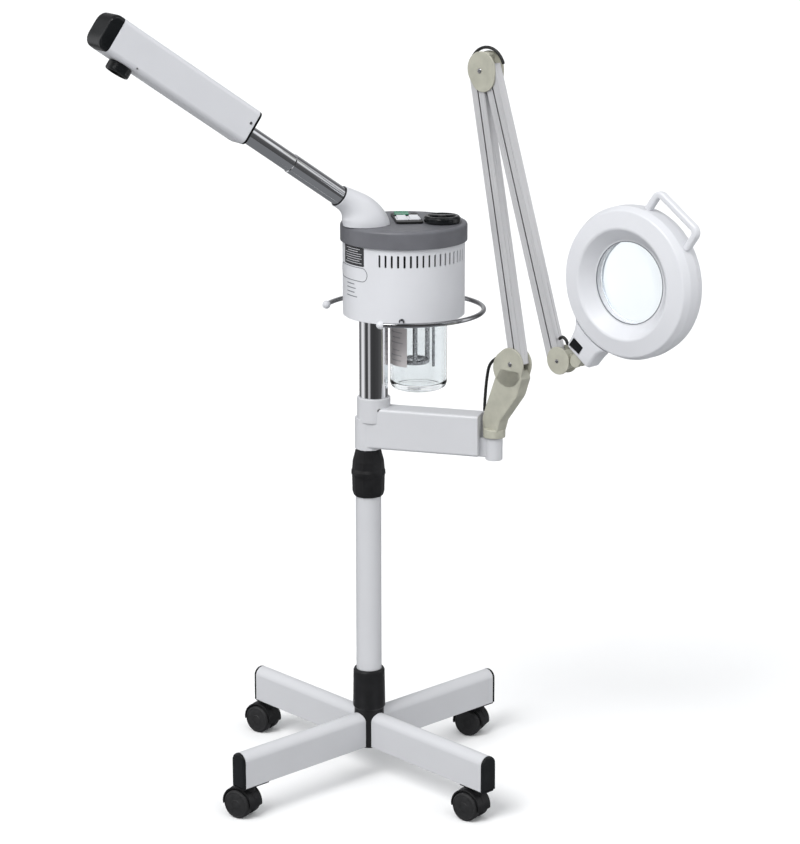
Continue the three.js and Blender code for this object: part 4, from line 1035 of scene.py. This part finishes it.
head_outline = rectangle(58, 60, 9, 0, 8, 8)
spray = prism("spray_case", head_outline, 6, 285, 0.7, "X")
inner = prism("inner_tool", rectangle(53, 55, 7, 0, 8), 0, 290, 0, "X")
mouth = moved(lathe("mouth_tool", [(0, -30), (13.4, -30), (13.4, -10), (0, -10)], 64), shift(243))
cut(spray, inner, mouth)
put(spray, HEAD, "spray_head", white_plastic, ["spray_body"])
rear = prism("spray_rear", rectangle(57.2, 59.2, 9, 0, 8, 8), 1.5, 5.7, (1.6, 0.3), "X", 4)
plug = prism("rear_plug", rectangle(52.2, 54.2, 6.5, 0, 8), 4, 15, 0, "X")
weld(rear, plug)
cut(rear, lathe("pipe_tool", [(0, -20), (15.7, -20), (15.7, 40), (0, 40)], 72, "X"))
put(rear, HEAD, "spray_head", black_gloss, ["spray_rear_cap"])
nose = []
for trim, at in (
    (0.0, 285.3), (0.05, 290), (0.25, 294.5), (0.7, 297.6), (1.4, 299.8), (2.4, 301.6), (3.7, 303.2), (5.3, 304.5),
    (7.2, 305.4), (9.4, 305.85), (12, 306),
):
    line = rectangle(58 - 0.7 * trim, 60 - 3.2 * trim, max(9 - trim * 0.35, 4), 0, 8, 8)
    nose.append([(at, u, v) for u, v in line])
front = skin("spray_front", nose)
put(front, HEAD, "spray_head", black_gloss, ["spray_front_cap"])

NOZZLE = HEAD @ shift(243)
outlet = lathe(
    "outlet",
    rounded(
        [
            (7, -10), (13, -10, 0.5), (13, -22.4), (19, -22.4, 0.8), (20, -24.4, 1), (20, -35.5, 1.4), (18.9, -37.5, 1),
            (16, -37.5, 0.7), (15, -30, 1), (7, -27, 0.6),
        ],
    ),
    96,
)
put(outlet, NOZZLE, "nozzle", black_gloss, ["spray_nozzle"])
pad = lathe("outlet_pad", rounded([(7.4, -29.2, 0.4), (14.3, -31.6, 0.4), (14.3, -30.2), (7.4, -27.6)]), 72)
put(pad, NOZZLE, "nozzle", amber)

side = HEAD.col[1].to_3d()
for name, x, z in (("head_screw_rear", 13, 13), ("head_screw_front", 229, -17)):
    spot = HEAD @ Vector((x * MM, 29 * MM, z * MM))
    screw(name, facing(spot, side), "spray_head", 2.6 if x < 100 else 1.6)
spot = ARM @ Vector((24 * MM, 26.6 * MM, (LID_TOP + 11) * MM))
screw("elbow_screw", facing(spot, (ARM.to_3x3() @ Vector((0.15, 0.9, 0.42)))), "steam_arm", 3)


# ---------------------------------------------------------------------------
# Folding lamp arm. Local X runs away from the socket, -Y is the reading side.
# ---------------------------------------------------------------------------

lamp_y = joint_axis("lower_arm_lean")
LAMP = axes(socket_point, y=lamp_y, z=UP)
LAMP_INVERSE = LAMP.inverted()


def in_lamp(point):
    local = LAMP_INVERSE @ Vector(point) / MM
    return Vector((local.x, local.z))


lower_foot = [in_lamp(joint_point("lower_arm_lean")), in_lamp(joint_point("lower_arm_link"))]
upper_top = [in_lamp(joint_point("upper_arm_lean")), in_lamp(joint_point("upper_arm_link"))]
lower_top_a = in_lamp(joint_point("elbow_level"))
upper_foot_a = in_lamp(joint_point("knuckle_level"))
lower_top = [lower_top_a, lower_top_a + lower_foot[1] - lower_foot[0]]
upper_foot = [upper_foot_a, upper_foot_a + upper_top[1] - upper_top[0]]
elbow_centre = (lower_top[0] + lower_top[1] + upper_top[0] + upper_top[1]) / 4 + Vector((1, 0))
yoke_centre = (lower_foot[0] + lower_foot[1]) / 2 + Vector((-9, -9.3))
knuckle_centre = (upper_foot[0] + upper_foot[1]) / 2 + Vector((11.06, 0.3))
IN, OUT = 9.4, 12.2


def plates(name, outline, edge=1.1):
    near = prism(name, outline, -OUT, -IN, (edge, 0.2), "Y", 4)
    far = prism(name, outline, IN, OUT, (0.2, edge), "Y", 4)
    return [near, far]


def pins(points):
    made = []
    for p in points:
        bar = lathe("pin", [(0, -11.6), (2.5, -11.6), (2.5, 11.6), (0, 11.6)], 20, "Y")
        made.append(moved(bar, shift(p.x, 0, p.y)))
    return made


def lamp_screw(name, x, z, body, radius=4.2):
    for label, way in (("near", -1), ("far", 1)):
        spot = LAMP @ Vector((x * MM, way * OUT * MM, z * MM))
        screw(f"{name}_{label}", facing(spot, lamp_y * way), body, radius)


# Yoke that stands in the bracket socket
yoke_neck = prism(
    "yoke_neck",
    rounded(
        [
            (-16, 648, 2), (16, 648, 2), (22, 668, 10), (58, 716, 14), (69, 748, 8), (64, 762, 4), (22, 762, 4),
            (10, 742, 8), (-10, 690, 14), (-17, 668, 8),
        ]
    ),
    -OUT, OUT, 2.4, "Y", 4,
)
yoke_foot = lathe(
    "yoke_foot",
    rounded([(0, 603), (7.9, 603, 1), (7.9, 636.6), (19, 636.6, 1.2), (19, 652, 2.5), (0, 652)], False),
    72,
)
yx, yz = yoke_centre
yoke_parts = plates("yoke_plate", hull(circle(28, yx, yz, 72) + circle(31, yx - 6, yz - 9, 72)))
yoke = group("yoke", yoke_neck, yoke_foot, *yoke_parts, *pins(lower_foot))
put(yoke, LAMP, "lamp_base", beige_plastic, ["lamp_yoke"])
lamp_screw("yoke_screw", yoke_centre.x, yoke_centre.y, "lamp_base")


def channel(name, start, end, open_side, body, node):
    """Aluminium channel between two pivots, open towards its partner."""
    span = end - start
    length = span.length
    w, d, t = 6.3, 9, 1.4
    back, floor_line, lip = -open_side * w, -open_side * (w - t), open_side * w
    outline = rounded(
        [
            (back, -d, 1.1), (lip, -d, 0.5), (lip, -d + t, 0.5), (floor_line, -d + t, 0.4), (floor_line, d - t, 0.4),
            (lip, d - t, 0.5), (lip, d, 0.5), (back, d, 1.1),
        ],
        steps=3,
    )
    bar = prism(name, outline, -5.3, length + 5.3, 0.25, steps=2)
    tools = []
    for height in (0, length):
        tool = lathe("hole", [(0, -20), (2.9, -20), (2.9, 20), (0, 20)], 24, "Y")
        tools.append(moved(tool, shift(0, 0, height)))
    cut(bar, *tools)
    direction = (LAMP.to_3x3() @ Vector((span.x, 0, span.y))).normalized()
    place = axes(LAMP @ Vector((start.x * MM, 0, start.y * MM)), y=lamp_y, z=direction)
    put(bar, place, body, aluminium, [node], 30)


channel("lower_strip_a", lower_foot[0], lower_top[0], 1, "lower_a", "lower_bar_a")
channel("lower_strip_b", lower_foot[1], lower_top[1], -1, "lower_b", "lower_bar_b")
channel("upper_strip_a", upper_top[0], upper_foot[0], -1, "upper_a", "upper_bar_a")
channel("upper_strip_b", upper_top[1], upper_foot[1], 1, "upper_b", "upper_bar_b")

# Elbow drum
ex, ez = elbow_centre
egg = hull(circle(29.5, ex, ez + 1.5, 72) + circle(25.5, ex + 3, ez - 9.5, 72))
core = prism(
    "drum_core",
    rounded(
        [
            (ex - 14, ez + 10, 2), (ex + 10, ez + 10, 2), (ex + 10, ez + 27.5, 3), (ex - 2, ez + 29.4),
            (ex - 14, ez + 26.5, 3),
        ]
    ),
    -9.6, 9.6, 0, "Y",
)
drum = group("elbow_drum", *plates("elbow_plate", egg), core, *pins(lower_top + upper_top))
put(drum, LAMP, "elbow", beige_plastic, ["lamp_elbow"])
lamp_screw("elbow_screw_centre", ex - 3, ez - 1, "elbow")

# Knuckle with its tongue
kx, kz = knuckle_centre
tilt_point = in_lamp(joint_point("lamp_tilt"))
web = prism(
    "knuckle_web",
    rounded([(152, 779, 1), (158, 779, 2), (166, 786, 3), (167, 800, 3), (164, 806, 3), (157, 811, 2), (152, 811, 1)]),
    -9.8, 9.8, 0.3, "Y",
)
tongue = prism("tongue", hull(circle(9, tilt_point.x, tilt_point.y, 40) + [(156, 788), (156, 806)]), -4, 4, 0.4, "Y")
tilt_tool = lathe("tilt_tool", [(0, -20), (3.4, -20), (3.4, 20), (0, 20)], 32, "Y")
cut(tongue, moved(tilt_tool, shift(tilt_point.x, 0, tilt_point.y)))
knuckle_plates = plates("knuckle_plate", circle(23, kx, kz, 72))
knuckle = group("knuckle_drum", *knuckle_plates, web, tongue, *pins(upper_foot))
put(knuckle, LAMP, "knuckle", beige_plastic, ["lamp_knuckle"])
lamp_screw("knuckle_screw", kx - 2, kz - 1, "knuckle", 3.4)

# Leads that bridge the joints
base_path = flowing([(17, 0, 779), (2, 0, 772), (-12, 0, 757), (-18, 0, 730), (-21, 0, 700), (-22, 0, 679)])
put(rod("lead_foot", base_path, 2.6), LAMP, "lamp_base", rubber, ["lead_base"])
loop = []
for k in range(37):
    a = math.radians(166 - 4 * k)
    loop.append((ex + 36.5 * math.cos(a), 4, ez + 36.5 * math.sin(a)))
put(rod("lead_top", loop, 2.6), LAMP, "elbow", rubber, ["lead_elbow"])
head_path = flowing([(141, -3, 828), (147, -3, 831.5), (154, -3, 828), (157.5, -3, 822)])
put(rod("lead_neck", head_path, 2.6), LAMP, "knuckle", rubber, ["lead_head"])


# ---------------------------------------------------------------------------
# Lamp head. +X runs from the tilt axis to the lens, -Y is the reading side.
# ---------------------------------------------------------------------------

HEAD_FRAME = axes(joint_point("lamp_roll"), x=joint_axis("lamp_roll"), y=joint_axis("lamp_tilt"))
NECK = 178.216
LENS = HEAD_FRAME @ shift(NECK)

block = prism("block", rectangle(12.4, 19.6, 2, 6.2, 0), -12, 12, 1, "Y")
ear = lathe("ear", rounded([(0, -12), (10, -12, 1.2), (10, 12, 1.2), (0, 12)], False), 48, "Y")
stem = lathe("stem", rounded([(0, 10), (6, 10), (6, 44, 1), (0, 44)], False), 40, "X")
weld(block, ear, stem)
slot_tool = prism("slot_tool", hull(circle(10.2, 0, 0, 48) + [(-14, 13), (9, 13), (-14, -10)]), -4.4, 4.4, 0, "Y")
cut(block, slot_tool)
put(block, HEAD_FRAME, "neck", beige_plastic, ["lamp_neck_block"])

ring = lathe(
    "lamp_ring",
    rounded(
        [
            (65.9, -9, 0.4), (69, -9.2, 0.8), (88, -30, 6), (117, -24, 5), (122.6, -12, 6), (122.6, 6, 3), (120, 20, 1),
            (117, 20, 0.6), (119.4, 5), (119.4, -9), (116, -19), (89, -26), (69.5, -5), (69.5, 14, 0.8), (64, 14, 0.8),
            (64, 11), (65.9, 11),
        ],
    ),
    160,
    "Y",
)
moved(ring, shift(NECK))


def neck_ring(at, half, y0, y1, radius=7):
    return [(at, u, v) for u, v in rectangle(y1 - y0, half * 2, radius, (y0 + y1) / 2, 0, 6)]


stations = [
    (13, 25.5, -14.5, 12.5), (13.8, 27, -16, 14), (16, 28, -17, 15), (30, 28.4, -19, 16), (46, 30, -21, 17),
    (56, 34, -21.6, 17.2), (66, 41, -22.2, 17.6), (76, 51, -22.8, 18), (84, 61, -23.2, 18.2), (92, 72, -23.6, 18.4),
    (100, 84, -24, 18.5),
]
throat = skin("lamp_throat", [neck_ring(*s) for s in stations])
rim_tool = lathe("rim_tool", [(0, -60), (120.6, -60), (120.6, 60), (0, 60)], 160, "Y")
cut(throat, moved(rim_tool, shift(NECK)))
bore = lathe("bore_tool", [(0, 2), (6.4, 2), (6.4, 46), (0, 46)], 40, "X")
well = prism("well_tool", rectangle(17, 24, 1, 28, 10), -30, -14, 0, "Y")
cut(throat, bore, well)

handle_turn = 55 - math.degrees(math.atan2(144, 105))
side_line = rounded([(114, -46), (148.8, -46, 10), (148.8, 46, 10), (114, 46)], False, 8)
path = [(u, 0, v) for u, v in side_line]
handle = sweep("lamp_handle", path, rectangle(11, 13, 3.6, steps=4), up=(0, 1, 0))
moved(handle, shift(NECK) @ turn(-handle_turn, "Y"))
handle_tool = lathe("handle_tool", [(0, -60), (121, -60), (121, 60), (0, 60)], 160, "Y")
cut(handle, moved(handle_tool, shift(NECK)))
lamp_body = group("lamp_shell_body", ring, throat, handle)
put(lamp_body, HEAD_FRAME, "lamp_head", white_plastic, ["lamp_shell"], 30)

rim_line = lathe("lens_rim", rounded([(65.2, -9.6), (66.5, -9.6, 0.4), (66.5, -8, 0.3), (65.2, -8)]), 128, "Y")
put(rim_line, LENS, "lamp_head", print_grey)
lens = lathe(
    "lens",
    [(0, -4), (13, -3.8), (25, -3.2), (37, -2.3), (48, -1.2), (57, 0), (63.5, 1), (65.5, 1.6), (65.5, 6.4), (63.5, 7),
     (57, 8), (48, 9.2), (37, 10.3), (25, 11.2), (13, 11.8), (0, 12)],
    128,
    "Y",
)
put(lens, LENS, "lamp_head", lens_glass, ["lamp_lens"], 60)
torus_path = [(93 * math.cos(2 * math.pi * k / 96), 2, 93 * math.sin(2 * math.pi * k / 96)) for k in range(96)]
put(rod("ring_tube", torus_path, 13, 28, closed=True), LENS, "lamp_head", tube_white, ["lamp_ring_tube"])

SWITCH = axes(joint_point("lamp_switch_rock"), x=HEAD_FRAME.col[0].to_3d(), y=HEAD_FRAME.col[1].to_3d())
key_face = rounded(
    [(-10.8, 0.6, 0.4), (0, 1.4), (10.8, -2.2, 0.4), (10.8, -4.6, 0.6), (0, -2.2, 8), (-10.8, -1.2, 0.6)]
)
key = prism("lamp_key", [(v, u) for u, v in key_face], -7.3, 7.3, 0.5, "X")
put(key, SWITCH, "lamp_rocker", black_gloss, ["lamp_switch"])


# ---------------------------------------------------------------------------
# Floor, light and camera
# ---------------------------------------------------------------------------

FLOOR_SIDE, FLOOR_FRONT, FLOOR_BACK = 60000, -30000, 90000
corners = [
    (-FLOOR_SIDE, FLOOR_FRONT, 0), (FLOOR_SIDE, FLOOR_FRONT, 0),
    (FLOOR_SIDE, FLOOR_BACK, 0), (-FLOOR_SIDE, FLOOR_BACK, 0),
]
floor = build("studio_floor", corners, [(0, 1, 2, 3)])
paper = surface("studio_floor", (0.93, 0.93, 0.93), 0.85, mottle=0.004, mottle_scale=0.8, grain=0.02, specular=0.1)
floor.data.materials.append(paper)

def mixed(tree, factor, first, second):
    """Shader that goes from the first to the second as the factor goes from 0 to 1."""
    mix = tree.nodes.new("ShaderNodeMixShader")
    tree.links.new(factor, mix.inputs[0])
    tree.links.new(first, mix.inputs[1])
    tree.links.new(second, mix.inputs[2])
    return mix.outputs[0]


def of_type(tree, kind):
    return next(node for node in tree.nodes if node.type == kind)


def mirror_only(tree, rays):
    """1 for rays thrown back by polished surfaces, 0 for those that passed through glass."""
    only = tree.nodes.new("ShaderNodeMath")
    only.operation = "SUBTRACT"
    only.use_clamp = True
    tree.links.new(rays.outputs["Is Glossy Ray"], only.inputs[0])
    tree.links.new(rays.outputs["Is Transmission Ray"], only.inputs[1])
    return only.outputs[0]


# Light that bounces off the paper, and what polished metal sees in it, is held back
tree = paper.node_tree
bounced = tree.nodes.new("ShaderNodeBsdfDiffuse")
bounced.inputs["Color"].default_value = (0.5, 0.5, 0.505, 1)
mirrored = tree.nodes.new("ShaderNodeEmission")
mirrored.inputs["Color"].default_value = (0.2, 0.205, 0.215, 1)
rays = tree.nodes.new("ShaderNodeLightPath")
lit = mixed(tree, rays.outputs["Is Diffuse Ray"], of_type(tree, "BSDF_PRINCIPLED").outputs[0], bounced.outputs[0])
paper_end = of_type(tree, "OUTPUT_MATERIAL").inputs["Surface"]
tree.links.new(mixed(tree, mirror_only(tree, rays), lit, mirrored.outputs[0]), paper_end)


def bands(tree, coordinate, stops):
    """Grey level by azimuth round the stand. 0.25 is the camera's side, 0 and 1 its left, 0.5 its right."""
    split = tree.nodes.new("ShaderNodeSeparateXYZ")
    tree.links.new(coordinate, split.inputs[0])
    angle = tree.nodes.new("ShaderNodeMath")
    angle.operation = "ARCTAN2"
    tree.links.new(split.outputs["Y"], angle.inputs[0])
    tree.links.new(split.outputs["X"], angle.inputs[1])
    share = tree.nodes.new("ShaderNodeMapRange")
    share.inputs["From Min"].default_value = -math.pi
    share.inputs["From Max"].default_value = math.pi
    tree.links.new(angle.outputs[0], share.inputs["Value"])
    levels = tree.nodes.new("ShaderNodeValToRGB")
    ramp = levels.color_ramp
    ramp.interpolation = "EASE"
    ramp.elements[0].position, ramp.elements[1].position = stops[0][0], stops[-1][0]
    ramp.elements[0].color = (stops[0][1],) * 3 + (1,)
    ramp.elements[1].color = (stops[-1][1],) * 3 + (1,)
    for place, value in stops[1:-1]:
        ramp.elements.new(place).color = (value, value, value * 1.02, 1)
    tree.links.new(share.outputs["Result"], levels.inputs["Fac"])
    return levels.outputs["Color"]


LEVELS = [
    (0.0, 0.95), (0.03, 0.5), (0.06, 0.07), (0.11, 0.06), (0.135, 0.6), (0.16, 0.55), (0.185, 0.06), (0.25, 0.05),
    (0.33, 0.06), (0.4, 0.09), (0.44, 0.12), (0.47, 0.8), (0.52, 1.0), (0.56, 0.3), (0.6, 0.1), (0.68, 0.3),
    (0.75, 0.55), (0.84, 0.2), (0.9, 0.12), (0.94, 0.7), (0.975, 1.0), (1.0, 0.95),
]

# Ring of dark and bright cards round the stand, seen only in polished surfaces
CARD_COUNT = 96
CARD_RADIUS = 2000
CARD_TOP = 3400
cards = build(
    "studio_cards",
    [(x, y, z) for x, y in circle(CARD_RADIUS, count=CARD_COUNT) for z in (1, CARD_TOP)],
    [
        (2 * k, 2 * k + 1, (2 * k + 3) % (2 * CARD_COUNT), (2 * k + 2) % (2 * CARD_COUNT))
        for k in range(CARD_COUNT)
    ],
)
card_paint = bpy.data.materials.new("studio_cards")
card_paint.use_nodes = True
tree = card_paint.node_tree
tree.nodes.clear()
spot = tree.nodes.new("ShaderNodeTexCoord")
shine = tree.nodes.new("ShaderNodeEmission")
tree.links.new(bands(tree, spot.outputs["Object"], LEVELS), shine.inputs["Color"])
through = tree.nodes.new("ShaderNodeBsdfTransparent")
rays = tree.nodes.new("ShaderNodeLightPath")
shown = mixed(tree, rays.outputs["Is Transmission Ray"], shine.outputs[0], through.outputs[0])
result = tree.nodes.new("ShaderNodeOutputMaterial")
tree.links.new(shown, result.inputs["Surface"])
cards.data.materials.append(card_paint)
cards.visible_camera = cards.visible_diffuse = cards.visible_shadow = False
cards.visible_transmission = cards.visible_volume_scatter = False

world = bpy.data.worlds.new("studio")
bpy.context.scene.world = world
world.use_nodes = True
tree = world.node_tree
tree.nodes.clear()
spot = tree.nodes.new("ShaderNodeTexCoord")
studio = tree.nodes.new("ShaderNodeBackground")
tree.links.new(bands(tree, spot.outputs["Generated"], LEVELS), studio.inputs["Color"])
studio.inputs["Strength"].default_value = 0.8
even = tree.nodes.new("ShaderNodeBackground")
even.inputs["Color"].default_value = (0.96, 0.98, 1.0, 1)
even.inputs["Strength"].default_value = 0.56
light = tree.nodes.new("ShaderNodeLightPath")
around = mixed(tree, mirror_only(tree, light), even.outputs[0], studio.outputs[0])
backdrop = tree.nodes.new("ShaderNodeBackground")
backdrop.inputs["Color"].default_value = (1, 1, 1, 1)
clearly = tree.nodes.new("ShaderNodeMath")
clearly.operation = "MAXIMUM"
tree.links.new(light.outputs["Is Camera Ray"], clearly.inputs[0])
tree.links.new(light.outputs["Is Transmission Ray"], clearly.inputs[1])
output = tree.nodes.new("ShaderNodeOutputWorld")
tree.links.new(mixed(tree, clearly.outputs[0], around, backdrop.outputs[0]), output.inputs["Surface"])


def sun(name, azimuth, elevation, strength, spread):
    """Broad distant light from an azimuth, 0 being the camera's side and positive to its left."""
    data = bpy.data.lights.new(name, "SUN")
    data.energy = strength
    data.angle = math.radians(spread)
    lamp = bpy.data.objects.new(name, data)
    a, e = math.radians(azimuth), math.radians(elevation)
    towards = Vector((-math.sin(a) * math.cos(e), -math.cos(a) * math.cos(e), math.sin(e)))
    lamp.rotation_euler = towards.to_track_quat("Z", "Y").to_euler()
    bpy.context.scene.collection.objects.link(lamp)


sun("key", 38, 48, 2.3, 32)
sun("fill", -50, 35, 0.85, 70)

CAMERA_PLACE = (0.0085, -3.9733, 1.7056)
CAMERA_PITCH = 75.263
FOCAL_LENGTH = 104.0
SENSOR_WIDTH = 36.0

camera_data = bpy.data.cameras.new("camera")
camera_data.lens = FOCAL_LENGTH
camera_data.sensor_width = SENSOR_WIDTH
camera_data.clip_end = 300
camera = bpy.data.objects.new("camera", camera_data)
camera.location = CAMERA_PLACE
camera.rotation_euler = (math.radians(CAMERA_PITCH), 0, 0)
bpy.context.scene.collection.objects.link(camera)
bpy.context.scene.camera = camera
bpy.context.scene.view_settings.view_transform = "Standard"
